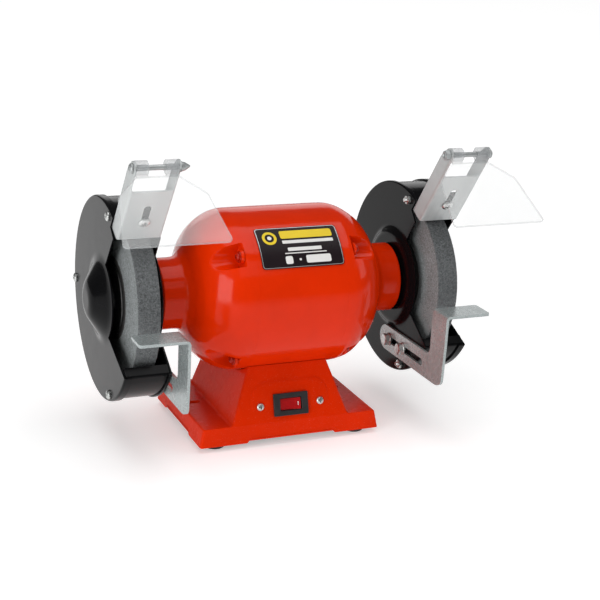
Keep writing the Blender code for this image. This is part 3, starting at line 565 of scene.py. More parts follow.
motor = {
    "barrelRadius": 74.6, "barrelHalf": 42.0, "wall": 4.0, "seam": 0.05,
    "neckRadius": 32.6, "neckEnd": 116.8, "boreRadius": 11.0,
    "pocketAngles": (41, 131, 221, 311), "pocketRadius": 10.3, "pocketAxis": 69.0, "pocketStart": 52.6,
    "bossRadius": 6.4, "bossHeight": 2.4, "screwRadius": 3.6, "screwHeight": 3.0, "washerRadius": 5.2,
    "washerHeight": 0.9,
}


def makeBarrel():
    m = motor
    half, radius = m["barrelHalf"] + 0.08, m["barrelRadius"]
    outer = rounded([
        (-half, radius - m["wall"], 0.5), (-half, radius, m["seam"]), (half, radius, m["seam"]),
        (half, radius - m["wall"], 0.5),
    ], closed=True, steps=4)
    shape = mapped(turned(outer, 256, closed=True), facingX(0))
    addPiece("motorBarrel", shape, redEnamel, "housing", ["motor_barrel"])


def makeBell(sideName, side):
    # The end cover: a shoulder curve turned about the shaft. Where a column of the surface lies over a tie
    # screw's axis, its radius drops to the wall of a round pocket that runs along the shaft.
    m = motor
    start = m["barrelHalf"] + 0.1
    shoulder = curveThrough([
        (start + m["seam"], m["barrelRadius"]), (52, 74.1), (61, 71.5), (70, 66.4), (78, 59.4), (84, 51.3),
        (88, 43.5), (91, 37.6), (95.5, 33.6), (101, m["neckRadius"]), (110, m["neckRadius"]),
        (m["neckEnd"] - 1.0, m["neckRadius"]),
    ], 150)
    extra = np.linspace(m["pocketStart"] - 1.2, m["pocketStart"] + 2.6, 16)
    along = np.unique(np.concatenate([shoulder[:, 0], extra]))
    outer = np.stack([along, np.interp(along, shoulder[:, 0], shoulder[:, 1])], 1)
    inner = np.array([
        (m["neckEnd"], m["neckRadius"] - 1.0), (m["neckEnd"], m["boreRadius"]), (100, m["boreRadius"]),
        (90, 26), (start + 2, 56), (start, m["barrelRadius"] - m["wall"]),
        (start, m["barrelRadius"] - m["seam"]),
    ])
    close = np.linspace(-12, 12, 41)
    angles = np.unique(np.round(np.concatenate(
        [np.arange(0, 360, 2.4)] + [(close + angle) % 360 for angle in m["pocketAngles"]]
    ), 3))
    profile = np.concatenate([outer, inner])
    x, r = profile[:, :1] + 0 * angles, profile[:, 1:2] + 0 * angles
    isOuter = (np.arange(len(profile)) < len(outer))[:, None]
    deep = smoothStep(m["pocketStart"] - 1.2, m["pocketStart"] + 1.2, x)
    for angle in m["pocketAngles"]:
        away = np.radians((angles - angle + 180) % 360 - 180)
        sideways = m["pocketAxis"] * np.sin(away)
        inside = (np.abs(sideways) < m["pocketRadius"]) & (np.abs(away) < 1.0)
        floor = m["pocketAxis"] * np.cos(away) - np.sqrt(np.maximum(m["pocketRadius"] ** 2 - sideways ** 2, 0))
        floor = np.where(inside, floor, 200.0)
        dropped = softMin(r, r + 1.5 + (floor - r - 1.5) * deep, 1.8)
        r = np.where(isOuter & inside, dropped, r)
    turn = np.radians(angles)
    points = np.stack([x, -r * np.cos(turn), r * np.sin(turn)], -1).reshape(-1, 3)
    faces = gridFaces(len(profile), len(angles), wrapRows=True, wrapColumns=True)
    addPiece(
        "endBell" + sideName.title(), mirrored((points, faces), side), redEnamel, "housing",
        ["end_bell_" + sideName], sharp=50,
    )


def panHead(radius, height):
    # A domed screw head on its own Z, its top sunk along two crossing bars.
    r = np.linspace(0, 1, 22) ** 0.8
    top = np.stack([height * (1 - 0.55 * r ** 3.2), radius * r], 1)
    side = np.array([(height * 0.40, radius * 1.0), (height * 0.18, radius * 1.01), (0, radius * 0.99), (0, 0)])
    grid = turnedGrid(np.concatenate([top, side]), 56)
    x, y = np.abs(grid[..., 0]) / radius, np.abs(grid[..., 1]) / radius
    wide, long = np.minimum(x, y), np.maximum(x, y)
    sunk = (1 - smoothStep(0.09, 0.17, wide)) * (1 - smoothStep(0.46, 0.60, long))
    isTop = (np.arange(grid.shape[0]) < len(top))[:, None]
    grid[..., 2] -= np.where(isTop, sunk * height * 0.62, 0)
    return grid.reshape(-1, 3), gridFaces(*grid.shape[:2], wrapColumns=True)


def hexHead(acrossFlats, height, washer=0.0, washerDepth=1.2, hole=0.0):
    # A six-sided head or nut: each column's radius follows the hexagon, and the top slopes off at its corners.
    angle = np.linspace(0, 2 * np.pi, 73)[:-1]
    flat = acrossFlats / 2
    wall = flat / np.cos((angle + np.pi / 6) % (np.pi / 3) - np.pi / 6)
    ring = flat * 0.93
    low = washerDepth if washer else 0.0
    rows = [
        (hole + 0 * angle, low + height - (0.6 if hole else 0.0) + 0 * angle),
        ((hole + 0.6 if hole else ring * 0.5) + 0 * angle, low + height + 0 * angle),
        (ring + 0 * angle, low + height + 0 * angle),
        (wall, low + height - (wall - ring) * 0.62), (wall, low + 0 * angle),
    ]
    if washer:
        rows += [(washer - 0.25 + 0 * angle, low + 0 * angle), (washer + 0 * angle, low - 0.25 + 0 * angle),
                 (washer + 0 * angle, 0.2 + 0 * angle), (washer - 0.2 + 0 * angle, 0 * angle)]
    else:
        rows += [(wall - 0.2, 0 * angle)]
    rows += [(hole + 0 * angle, 0 * angle)]
    grid = np.stack([np.stack([r * np.cos(angle), r * np.sin(angle), z], -1) for r, z in rows])
    return grid.reshape(-1, 3), gridFaces(len(rows), len(angle), wrapRows=bool(hole), wrapColumns=True)


def studShape(radius, low, high, tip=0.5, pitch=0.0):
    # A bolt's shank, with ridges like a thread when a pitch is given.
    along = np.linspace(low, high, max(4, int((high - low) / (pitch / 4)) if pitch else 4))
    wave = 0.09 * radius * np.cos(2 * np.pi * along / pitch) if pitch else 0 * along
    profile = np.stack([along, radius - 0.09 * radius * bool(pitch) + wave], 1)
    profile = np.concatenate([[(low, 0)], profile, [(high + tip * 0.6, radius - tip), (high + tip * 0.6, 0)]])
    return turned(profile, 28)


def makeTieScrews(sideName, side):
    m = motor
    top, radius, flat, disc = m["bossHeight"], m["bossRadius"], m["washerHeight"], m["washerRadius"]
    boss = turned(rounded([(0, 0, 0), (0, radius, 0), (top, radius - 0.4, 0.6), (top, 0, 0)]), 32)
    washer = turned([(0, 0), (0, disc), (flat, disc), (flat, 0)], 32)
    places = []
    for angle in m["pocketAngles"]:
        turn = math.radians(angle)
        places.append((-m["pocketAxis"] * math.cos(turn), m["pocketAxis"] * math.sin(turn)))
    onBoss = m["pocketStart"] + 2.7
    head = panHead(m["screwRadius"], m["screwHeight"])
    bosses = joined(*[mapped(boss, facingX(m["pocketStart"] + 0.2, *place)) for place in places])
    heads = [mapped(head, facingX(onBoss + flat, *place)) for place in places]
    screws = joined(*heads, *[mapped(washer, facingX(onBoss, *place)) for place in places])
    addPiece("tieBosses" + sideName.title(), mirrored(bosses, side), redEnamel, "housing")
    addPiece("tieScrews" + sideName.title(), mirrored(screws, side), screwRed, "housing")


plate = {
    "across": 1.0, "angle": 44.3, "radius": 74.95, "halfWide": 39.2, "halfTall": 20.4, "corner": 3.4,
    "thick": 0.6, "blockDepth": 0.12,
}


def wrapped(outlines, depth, lift):
    # Flat outlines of (across, up) bent round the barrel, standing a little proud of it.
    p = plate
    shape = filled(outlines, depth, min(0.12, depth * 0.3))
    low, high = shape[0][:, 1].min(), shape[0][:, 1].max()
    points, faces = sliced(shape, 1, np.arange(low + 0.7, high, 1.5))
    radius = p["radius"] + lift + depth / 2 + points[:, 2]
    turn = math.radians(p["angle"]) + points[:, 1] / p["radius"]
    return np.stack([points[:, 0] + p["across"], -radius * np.cos(turn), radius * np.sin(turn)], 1), faces


def bars(rows):  # plain rounded bars: (left, right, middle, half height)
    return [boxOutline((b - a) / 2, h, h * 0.5, (a + b) / 2, y) for a, b, y, h in rows]


def makeNameplate():
    # A plain plate with a border and blank blocks where a maker would print its lines.
    p = plate
    outer = boxOutline(p["halfWide"], p["halfTall"], p["corner"])
    addPiece("nameplateFace", wrapped([outer], p["thick"], 0.05), plateBlack, "housing", ["nameplate"])
    top = p["thick"] + 0.04
    border = wrapped([
        boxOutline(p["halfWide"] - 0.55, p["halfTall"] - 0.55, p["corner"] - 0.3),
        boxOutline(p["halfWide"] - 1.0, p["halfTall"] - 1.0, p["corner"] - 0.6),
    ], p["blockDepth"], top)
    addPiece("nameplateBorder", border, plateSilver, "housing")
    yellow = joined(
        wrapped([circleOutline(-27.0, 9.0, 6.8, 44), circleOutline(-27.0, 9.0, 4.3, 36)], p["blockDepth"], top),
        *[wrapped([bar], p["blockDepth"], top) for bar in bars([(-16.5, 33.5, 12.0, 4.2)])],
    )
    addPiece("nameplateYellow", yellow, plateYellow, "housing")
    rimShade = joined(
        wrapped([circleOutline(-27.0, 9.0, 2.0, 28)], p["blockDepth"], top),
        *[wrapped([bar], p["blockDepth"], top) for bar in bars([
            (-16.0, 33.0, 4.2, 1.6), (-12.5, 20.0, -3.2, 1.7), (-16.0, 24.0, -7.0, 0.5),
            (-16.5, -9.6, -13.2, 3.6), (-3.4, -1.4, -13.2, 1.0), (3.2, 27.0, -13.2, 3.6),
        ])],
    )
    addPiece("nameplateWhite", rimShade, plateWhite, "housing")


makeBarrel()
for sideName, side in sideNames:
    makeBell(sideName, side)
    makeTieScrews(sideName, side)
makeNameplate()

print("stage: wheels")

wheel = {
    "radius": 75.0, "inner": 133.0, "outer": 153.0, "bore": 6.35, "corner": 1.1, "grit": 0.10,
    "largestGrain": 0.16, "paper": 37.0, "flange": 33.0, "deep": 5.0, "nut": 18.0, "nutHeight": 8.8,
}


def makeWheels(sideName, side):
    w = wheel
    name = sideName.title()
    outline = rounded([
        (w["inner"], w["bore"], 0.4), (w["inner"], w["radius"], w["corner"]),
        (w["outer"], w["radius"], w["corner"]), (w["outer"], w["bore"], 0.4),
    ], closed=True, steps=4)
    outline = refined(np.concatenate([outline, outline[:1]]), 1.4)[:-1]
    grid = turnedGrid(outline, 400)
    grid += rng.normal(0.0, w["grit"] * 0.5, grid.shape).clip(-w["largestGrain"], w["largestGrain"])
    shape = (grid.reshape(-1, 3), gridFaces(*grid.shape[:2], wrapRows=True, wrapColumns=True))
    addPiece(
        "grindingWheel" + name, mirrored(mapped(shape, facingX(0)), side), wheelGrit, "spindle",
        ["grinding_wheel_" + sideName], sharp=180, weld=0.0001,
    )
    paper = []
    for face, sign in ((w["inner"], -1), (w["outer"], 1)):
        ring = turned([(0.02, 8), (0.26, 8.2), (0.26, w["paper"] - 0.4), (0.02, w["paper"])], 120, closed=True)
        paper.append(mapped(ring, facingX(face, sign=sign)))
    paper = mirrored(joined(*paper), side)
    addPiece("wheelBlotters" + name, paper, wheelPaper, "spindle")
    cup = rounded([
        (0.3, w["bore"], 0.2), (0.3, w["flange"] - 7, 0.3), (0.5, w["flange"], 0.3), (2.4, w["flange"], 0.8),
        (w["deep"] + 0.3, w["flange"] - 10, 2.5), (w["deep"] + 0.3, w["bore"], 0.3),
    ], closed=True)
    for prefix, face, sign in (("inner", w["inner"], -1), ("outer", w["outer"], 1)):
        flange = mapped(turned(cup, 96, closed=True), facingX(face, sign=sign))
        addPiece(
            prefix + "Flange" + name, mirrored(flange, side), flangeSteel, "spindle",
            [prefix + "_flange_" + sideName],
        )
    nut = mapped(hexHead(w["nut"], w["nutHeight"], hole=6.3), facingX(w["outer"] + w["deep"] + 0.6))
    addPiece(
        "wheelNut" + name, mirrored(nut, side), brightSteel, "spindle", ["wheel_nut_" + sideName],
    )


def makeShaft():
    half, seat, thin, thick = 169.0, 127.0, 6, 8.5
    profile = rounded([
        (-half, 0, 0), (-half, thin, 0.8), (-seat, thin, 0), (-seat, thick, 0.6), (seat, thick, 0.6),
        (seat, thin, 0), (half, thin, 0.8), (half, 0, 0),
    ])
    shaft = mapped(turned(profile, 64), facingX(0))
    addPiece("motorShaft", shaft, brightSteel, "spindle", ["motor_shaft"])


for sideName, side in sideNames:
    makeWheels(sideName, side)
makeShaft()

print("stage: wheel guards")

guard = {
    "sheet": 1.3, "plateFace": 122.8, "coverFace": 165.3, "bandRadius": 90.0, "rim": 91.6, "rimDepth": 7.0,
    "domeDepth": 13.5, "domeRadius": 38.0, "domeFlat": 14.0,
    "hubRadius": 49.0, "hubDepth": 3.6, "neckHole": 21.6,
    "webAngle": 54.1, "webFront": 1.9, "webDepth": 16.0, "webBottom": 79.5,
    "bandStart": 66.0, "bandEnd": 328.0, "foldIn": 10.0, "tabHalf": 12.0, "tabTop": 117.0, "tabGap": 0.3,
    "screws": ((-24.5, 81.0), (84.3, -5.5), (-31.5, -79.2)), "screwHead": (4.2, 2.9), "screwRadius": 2.0,
}


def webPoint(behind, out):  # a point of the eye shield bracket's own plane as (y, z)
    turn = math.radians(guard["webAngle"])
    return (-out * math.cos(turn) + behind * math.sin(turn), out * math.sin(turn) + behind * math.cos(turn))


def edgeAngle(corners, radius):
    # The angle, from the front and rising, at which an edge line of (y, z) corners crosses each radius.
    p = refined(np.array(corners, float), 0.3)
    r, a = np.hypot(p[:, 0], p[:, 1]), np.unwrap(np.arctan2(p[:, 1], -p[:, 0]))
    return np.interp(radius, r, a)


def openDisc(profile, hub, upper, lower, wide=260, narrow=60):
    # A pressed disc with a wedge left out: rows follow a profile of (along, radius), and each row's columns run
    # from the opening's upper edge, over the top and back, to its lower edge. Rows inside the hub are whole.
    profile = np.asarray(profile, float)
    inside = profile[profile[:, 1] < hub]
    outside = profile[profile[:, 1] > hub]
    level = np.interp(hub, profile[:, 1][:len(inside) + 1], profile[:, 0][:len(inside) + 1])
    outside = np.concatenate([[(level, hub)], outside])
    v = np.linspace(0, 1, wide)
    first = edgeAngle(upper, outside[:, 1])[:, None]
    last = edgeAngle(lower, outside[:, 1])[:, None] + 2 * np.pi
    angle = first + (last - first) * v
    x, r = outside[:, :1], outside[:, 1:]
    outer = np.stack([x + 0 * angle, -r * np.cos(angle), r * np.sin(angle)], -1)
    gap = np.linspace(last[0, 0], first[0, 0] + 2 * np.pi, narrow)[1:-1]
    whole = np.concatenate([angle[0], gap])
    x, r = inside[:, :1], inside[:, 1:]
    inner = np.stack([x + 0 * whole, -r * np.cos(whole), r * np.sin(whole)], -1)
    hubRow = np.concatenate([
        outer[0], np.stack([level + 0 * gap, -hub * np.cos(gap), hub * np.sin(gap)], -1),
    ])
    inner = np.concatenate([inner, hubRow[None]])
    faces = gridFaces(*inner.shape[:2], wrapColumns=True)
    faces += gridFaces(*outer.shape[:2], start=inner.shape[0] * inner.shape[1])
    return np.concatenate([inner.reshape(-1, 3), outer.reshape(-1, 3)]), faces


def edgeLine(upperStart, upperEnd):
    g = guard
    notch = webPoint(g["webFront"] + g["webDepth"] + 0.6, g["webBottom"] - 3.0)
    far = webPoint(g["webFront"] + g["webDepth"] + 0.6, g["webBottom"] + 40.0)
    return [upperStart, upperEnd, notch, far]


def extended(a, b, length=40.0):
    d = np.array(b, float) - np.array(a, float)
    return [a, b, tuple(np.array(b) + d / np.linalg.norm(d) * length)]


def withRadii(profile, marks, level):  # adds rows on the disc's flat part, where the opening has its corners
    extra = np.array([(level, mark) for mark in marks])
    rising = profile[:, 1].argmax()
    flat = np.concatenate([profile[:rising], extra])
    flat = flat[np.argsort(flat[:, 1], kind="stable")]
    return np.concatenate([flat, profile[rising:]])


def addDisc(name, node, side, away, corners, level, hub, upper, lower):
    # Eases the corners of a disc's profile, opens it between two edge lines, and gives it a sheet's thickness.
    profile = refined(rounded(corners, steps=9), 1.6)
    marks = [np.hypot(*upper[1]), np.hypot(*upper[2]), np.hypot(*lower[1])]
    shape = openDisc(withRadii(profile, marks, level), hub, upper, lower)
    addPiece(
        name, mirrored(shape, side), blackEnamel, "housing", [node], sheet=guard["sheet"],
        facing=(side * away, 0, 0), edge=0.28, closed=False, sharp=40,
    )


def makeCover(sideName, side):  # the outer disc, with its dome
    g = guard
    face, rise = g["coverFace"], g["domeDepth"]
    corners = [
        (face + rise, 0.0, 0), (face + rise, g["domeFlat"], 5.5), (face, g["domeRadius"] - 1.5, 6.0),
        (face, g["rim"], 2.2), (face - g["rimDepth"], g["rim"], 0),
    ]
    upper = edgeLine((-14.5, 34.4), (-38.5, 64.8))
    lower = extended((-27.6, -28.4), (-76.1, -47.8))
    name, node, hub = "guardCover" + sideName.title(), "guard_cover_" + sideName, g["domeRadius"] + 0.8
    addDisc(name, node, side, 1, corners, face, hub, upper, lower)


def makeInnerPlate(sideName, side):  # the inner disc, with a shallow dish and a hole for the motor's neck
    g = guard
    face, hub = g["plateFace"], g["hubRadius"]
    corners = [
        (face - g["hubDepth"], g["neckHole"], 0), (face - g["hubDepth"], hub - 6.5, 3.4),
        (face, hub - 0.8, 3.0), (face, g["rim"], 2.0), (face + 3.2, g["rim"], 0),
    ]
    upper = edgeLine((-24.5, 42.4), (-38.5, 63.0))
    lower = extended((-41.8, -25.0), (-76.5, -46.5))
    name, node = "guardPlate" + sideName.title(), "guard_plate_" + sideName
    addDisc(name, node, side, -1, corners, face, hub + 0.05, upper, lower)


def makeBand(sideName, side):
    # The rolled rim: a flat strip carried along an arc round the wheel, folded in at its lower end and folded
    # out into a narrow tab at its upper end.
    g = guard
    radius, sheet = g["bandRadius"], g["sheet"]
    low, high = g["plateFace"] + 1.6, g["coverFace"] - 1.6
    middle, half = (low + high) / 2, (high - low) / 2
    tabFront = g["webFront"] + 1.5 + g["tabGap"]
    start, end = math.radians(g["bandStart"]), math.radians(g["bandEnd"])
    sweep = np.linspace(start, end, 150)
    arc = np.stack([-radius * np.cos(sweep), radius * np.sin(sweep)], 1)
    inside = radius - g["foldIn"]
    foldIn = np.array([-inside * math.cos(end + 0.012), inside * math.sin(end + 0.012)])
    turnAt = webPoint(tabFront, radius - 0.3)
    upper = np.array([webPoint(tabFront, g["tabTop"]), turnAt])
    corners = [(*upper[0], 0), (*upper[1], 4.0), (*arc[6], 0)] + [(*p, 0) for p in arc[7:-3]]
    corners += [(*arc[-1], 2.2), (*foldIn, 0)]
    path = rounded(corners, steps=6)
    ahead = np.gradient(path, axis=0)
    ahead /= np.linalg.norm(ahead, axis=1, keepdims=True)
    outwards = np.stack([-ahead[:, 1], ahead[:, 0]], 1)
    outwards *= np.where((outwards * path).sum(1)[20] > 0, 1, -1)
    along = np.concatenate([[0], np.cumsum(np.linalg.norm(np.diff(path, axis=0), axis=1))])
    width = g["tabHalf"] + (half - g["tabHalf"]) * smoothStep(27.0, 29.5, along)
    trim = 0.3
    ring = np.array([
        (-1, 0, trim, 0), (-1, 0, 0, -trim), (-1, -1, 0, trim), (-1, -1, trim, 0),
        (1, -1, -trim, 0), (1, -1, 0, trim), (1, 0, 0, -trim), (1, 0, -trim, 0),
    ])
    across = ring[:, 0] * width[:, None] + ring[:, 2]
    depth = ring[:, 1] * sheet + ring[:, 3]
    yz = path[:, None, :] + outwards[:, None, :] * depth[..., None]
    points = np.concatenate([(across + middle)[..., None], yz], -1)
    rows, columns = points.shape[:2]
    faces = gridFaces(rows, columns, wrapColumns=True)
    faces += [tuple(range(columns)), tuple(range((rows - 1) * columns, rows * columns))]
    addPiece(
        "guardBand" + sideName.title(), mirrored((points.reshape(-1, 3), faces), side), blackEnamel, "housing",
        ["guard_band_" + sideName], sharp=40,
    )


def makeCoverBolts(sideName, side):
    g = guard
    for place, (y, z) in zip(("top", "rear", "bottom"), g["screws"]):
        head = mapped(panHead(*g["screwHead"]), facingX(g["coverFace"] + 0.1, y, z))
        shank = studShape(g["screwRadius"], g["plateFace"] - 5.6, g["coverFace"] + 0.5, pitch=0.8)
        shank = mapped(shank, facingX(0, y, z))
        nut = mapped(hexHead(7.4, 3.2, hole=g["screwRadius"]), facingX(g["plateFace"] - 0.2, y, z, -1))
        bolt = mirrored(joined(head, shank, nut), side)
        addPiece(
            "coverBolt" + sideName.title() + place.title(), bolt, brightSteel, "housing",
            ["cover_bolt_" + sideName + "_" + place],
        )


for sideName, side in sideNames:
    makeCover(sideName, side)
    makeInnerPlate(sideName, side)
    makeBand(sideName, side)
    makeCoverBolts(sideName, side)

print("stage: eye shields")

shield = {
    "centre": 144.1, "halfInside": 18.25, "sheet": 1.5, "bend": 2.6, "webTop": 139.5, "slotLow": 94.8,
    "slotHigh": 121.5, "slotRadius": 3.1, "bolt": 101.5, "rod": (-89.0, 136.5), "rodRadius": 2.3, "tilt": 35.2,
    "thick": 2.5, "plane": -3.4, "top": 6.6, "reach": 78.5, "loopRadius": 6.4, "loopWidth": 10.4,
    "boltHead": (5.0, 3.3), "boltRadius": 2.4, "rodHead": (4.2, 3.1), "earRadius": 6.2,
}


def webFrame():
    return tilted((shield["centre"], 0, 0), 90 - guard["webAngle"])


def rodFrame():
    return tilted((shield["centre"], *shield["rod"]), shield["tilt"])


def makeBracket(sideName, side):
    # One sheet cut flat, as a web with a slot and two tall ears, whose sides then fold back by a quarter turn.
    s, g = shield, guard
    turn = math.radians(g["webAngle"])
    y, z = s["rod"]
    out = -y * math.cos(turn) + z * math.sin(turn)
    behind = y * math.sin(turn) + z * math.cos(turn)
    half = s["halfInside"] + s["sheet"]
    bendStart = half - s["bend"]
    bendLength = s["bend"] * math.pi / 2

    def unrolled(depth):  # the flat pattern's distance from the middle for a depth behind the web's front
        return bendStart + bendLength + depth - s["bend"]

    ear = unrolled(behind - g["webFront"])
    back = unrolled(g["webDepth"])
    right = [
        (bendStart, g["webBottom"], 0), (back, g["webBottom"] - 2.5, 1.2), (back, out - 9.0, 6.0),
    ]
    right = list(map(tuple, rounded([(0, g["webBottom"], 0)] + right + [(ear + 6.0, out + 1.5, 0)], steps=5)))
    right += list(map(tuple, arcPoints(ear, out, s["earRadius"], 15, 180, 14)))
    inner = ear - s["earRadius"]
    right += list(map(tuple, rounded([
        (inner, out, 0), (inner, s["webTop"] + 2.0, 1.5), (inner - 2.0, s["webTop"], 1.5), (0, s["webTop"], 0),
    ], steps=4)))[1:]
    right = np.array(right)
    outline = np.concatenate([right, right[::-1][1:-1] * np.array([-1, 1])])
    slotMiddle = (s["slotLow"] + s["slotHigh"]) / 2
    slotHalf = (s["slotHigh"] - s["slotLow"]) / 2 - s["slotRadius"]
    holes = [slotPoints(0, slotMiddle, slotHalf, s["slotRadius"], upwards=True)]
    holes += [circleOutline(end * ear, out, s["rodRadius"] + 0.3, 28) for end in (-1, 1)]
    places = bendPlaces(bendStart, s["bend"])
    points, faces = sliced(filled([outline] + holes), 0, np.concatenate([places, -places]))
    across, deep = folded(np.abs(points[:, 0]) - bendStart, s["bend"])
    bent = np.stack([np.sign(points[:, 0]) * (bendStart + across), g["webFront"] + deep, points[:, 1]], 1)
    shape = mirrored(mapped((bent, faces), webFrame()), side)
    work = orientedOutwards(shape, (side * s["centre"], *webPoint(10.0, 120.0)))
    addPiece(
        "shieldBracket" + sideName.title(), work, zincSheet, "bracket_" + sideName,
        ["shield_bracket_" + sideName], sheet=s["sheet"], edge=0.3, closed=False, sharp=40,
    )


def orientedOutwards(shape, centre):  # faces turned so that they look away from a point
    points, faces = shape
    middle = np.array(centre, float)
    result = []
    for face in faces:
        p = points[list(face)]
        normal = np.cross(p[1] - p[0], p[2] - p[0])
        result.append(face if normal @ (p.mean(0) - middle) > 0 else tuple(face)[::-1])
    return points, result


def makeBracketBolt(sideName, side):
    s, g = shield, guard
    front = g["webFront"] - 0.25
    nutFace = g["webFront"] + s["sheet"] + 2.5
    place = webFrame() @ facingY(0, front, s["bolt"], -1)
    head = mapped(panHead(*s["boltHead"]), place)
    shank = mapped(studShape(s["boltRadius"], -nutFace - 5.6, 0.4, pitch=0.8), place)
    nut = mapped(hexHead(8.0, 3.8, hole=2.3), webFrame() @ facingY(0, nutFace, s["bolt"], 1))
    addPiece(
        "bracketBolt" + sideName.title(), mirrored(joined(head, shank, nut), side), brightSteel, "housing",
        ["bracket_bolt_" + sideName],
    )


def makeRod(sideName, side):
    s = shield
    half = s["halfInside"] + s["sheet"] + 0.3
    place = rodFrame()
    head = mapped(panHead(*s["rodHead"]), place @ facingX(half))
    shank = mapped(studShape(s["rodRadius"], -half - 3.6, half + 0.6), place @ facingX(0))
    if side < 0:
        cap = turned(rounded([
            (0, 0, 0), (0, 4.4, 0.3), (1.2, 4.4, 0.4), (1.6, 4.0, 0.3), (3.6, 3.7, 1.0), (8.4, 0.9, 0.8),
            (8.8, 0, 0),
        ]), 40)
    else:
        cap = hexHead(8.0, 4.6, hole=2.2)
    nut = mapped(cap, place @ facingX(-half, sign=-1))
    rod = mirrored(joined(head, shank, nut), side)
    addPiece(
        "shieldRod" + sideName.title(), rod, rodSteel, "bracket_" + sideName, ["shield_rod_" + sideName],
    )


def makeShield(sideName, side):
    # A clear plate with cut corners and two curled loops that the rod passes through.
    s = shield
    top, reach = s["top"], s["reach"]
    right = [
        (17.7, -top, 1.0), (37.5, -top - 20.5, 3.0), (44.8, -reach + 2.2, 2.0), (42.6, -reach, 2.0),
    ]
    outline = rounded(right + [(-x, y, t) for x, y, t in right[::-1]], closed=True, steps=5)
    sheet = filled([outline], s["thick"], 0.55)
    sheet = (sheet[0] + np.array([0, 0, s["plane"]]), sheet[1])
    loops = []
    for end in (-1, 1):
        across = end * (s["halfInside"] - 0.3 - s["loopWidth"] / 2)
        half = s["thick"] / 2
        foot = [(-top - 2.4, s["plane"] - half + 0.1), (-top - 2.4, s["plane"] + half - 0.1)]
        outer = np.concatenate([foot, arcPoints(0, 0, s["loopRadius"], 200, -133, 40)])
        hole = circleOutline(0, 0, s["rodRadius"] + 0.4, 36)
        loop = filled([outer, hole], s["loopWidth"], 0.5)
        loops.append(mapped(loop, facingX(across)))
    place = rodFrame()
    base = addPiece(
        "eyeShield" + sideName.title(), mirrored(mapped(sheet, place), side), clearFace, "shield_" + sideName,
        ["eye_shield_" + sideName], sharp=30,
    )
    cutter = cutterFrom(mirrored(mapped(joined(*loops), place), side), "shieldLoops")
    base.modifiers.clear()
    join = base.modifiers.new("join", "BOOLEAN")
    join.operation = "UNION"
    join.solver = "EXACT"
    join.object = cutter
    workIn(base)
    bpy.data.objects.remove(cutter)
    base.data.materials.clear()
    base.data.materials.append(clearFace)
    base.data.materials.append(clearRim)
    count = len(base.data.polygons)
    normals = np.empty(count * 3)
    centres = np.empty(count * 3)
    base.data.polygons.foreach_get("normal", normals)
    base.data.polygons.foreach_get("center", centres)
    flatNormal = place[:3, 2]
    local = (centres.reshape(-1, 3) - shaftCentre) / millimetre * np.array([side, 1, 1]) - place[:3, 3]
    down = local @ place[:3, 1]
    turnedIn = np.abs(normals.reshape(-1, 3) * np.array([side, 1, 1]) @ flatNormal) < 0.9
    base.data.polygons.foreach_set("material_index", (turnedIn | (down > -top)).astype(np.int32))
    smoothed(base, 30)


for sideName, side in sideNames:
    makeBracket(sideName, side)
    makeBracketBolt(sideName, side)
    makeRod(sideName, side)
    makeShield(sideName, side)

print("stage: tool rests")

rest = {
    "sheet": 2.6, "face": 119.9, "bend": 4.2, "tableTop": -4.4, "tableEnd": 164.4, "legFront": -116.4,
    "legBack": -90.6, "armBottom": -73.6, "armTop": -49.2, "bolts": (-8.8, -37.4), "boltRadius": 2.9,
    "slotMiddle": -40.5, "slotHalf": 34.1, "slotHeight": -61.5, "slotRadius": 3.4,
}


def makeRest(sideName, side):
    # One thick sheet cut flat, as a slotted arm with an upright leg, whose top folds over to make the table.
    r = rest
    bendStart = r["tableTop"] - r["bend"]
    bendLength = r["bend"] * math.pi / 2
    far = bendStart + bendLength + (r["tableEnd"] - r["face"] - r["bend"])
    end = (r["armTop"] - r["armBottom"]) / 2
    outline = np.concatenate([
        rounded([
            (-2.0, r["armTop"], 0), (r["legBack"], r["armTop"], 8.5), (r["legBack"], far, 3.0),
            (r["legFront"], far, 3.0), (r["legFront"], -30.0, 0), (r["legFront"] + 1.2, -56.0, 0),
            (r["legFront"] + 2.0, r["armBottom"], 15.0), (-2.0, r["armBottom"], 0),
        ], steps=8),
        arcPoints(-2.4, (r["armTop"] + r["armBottom"]) / 2, end, -88, 88, 20),
    ])
    slot = slotPoints(r["slotMiddle"], r["slotHeight"], r["slotHalf"], r["slotRadius"])
    points, faces = sliced(filled([outline, slot]), 1, bendPlaces(bendStart, r["bend"]))
    up, over = folded(points[:, 1] - bendStart, r["bend"])
    bent = np.stack([r["face"] + over, points[:, 0], bendStart + up], 1)
    shape = orientedOutwards(mirrored((bent, faces), side), (side * 150.0, -80.0, -60.0))
    addPiece(
        "toolRest" + sideName.title(), shape, restSheet, "rest_" + sideName, ["tool_rest_" + sideName],
        sheet=r["sheet"], edge=0.45, closed=False, sharp=40,
    )
    for place, y in zip(("rear", "front"), r["bolts"]):
        head = hexHead(10.0, 4.2, washer=6.4, washerDepth=1.3)
        shank = studShape(r["boltRadius"], r["face"] + 0.2, guard["plateFace"] + 4.6, pitch=1.0)
        bolt = joined(
            mapped(head, facingX(r["face"] - 0.1, y, r["slotHeight"], -1)),
            mapped(shank, facingX(0, y, r["slotHeight"])),
        )
        addPiece(
            "restBolt" + sideName.title() + place.title(), mirrored(bolt, side), brightSteel, "housing",
            ["rest_bolt_" + sideName + "_" + place],
        )


for sideName, side in sideNames:
    makeRest(sideName, side)

print("stage: base")

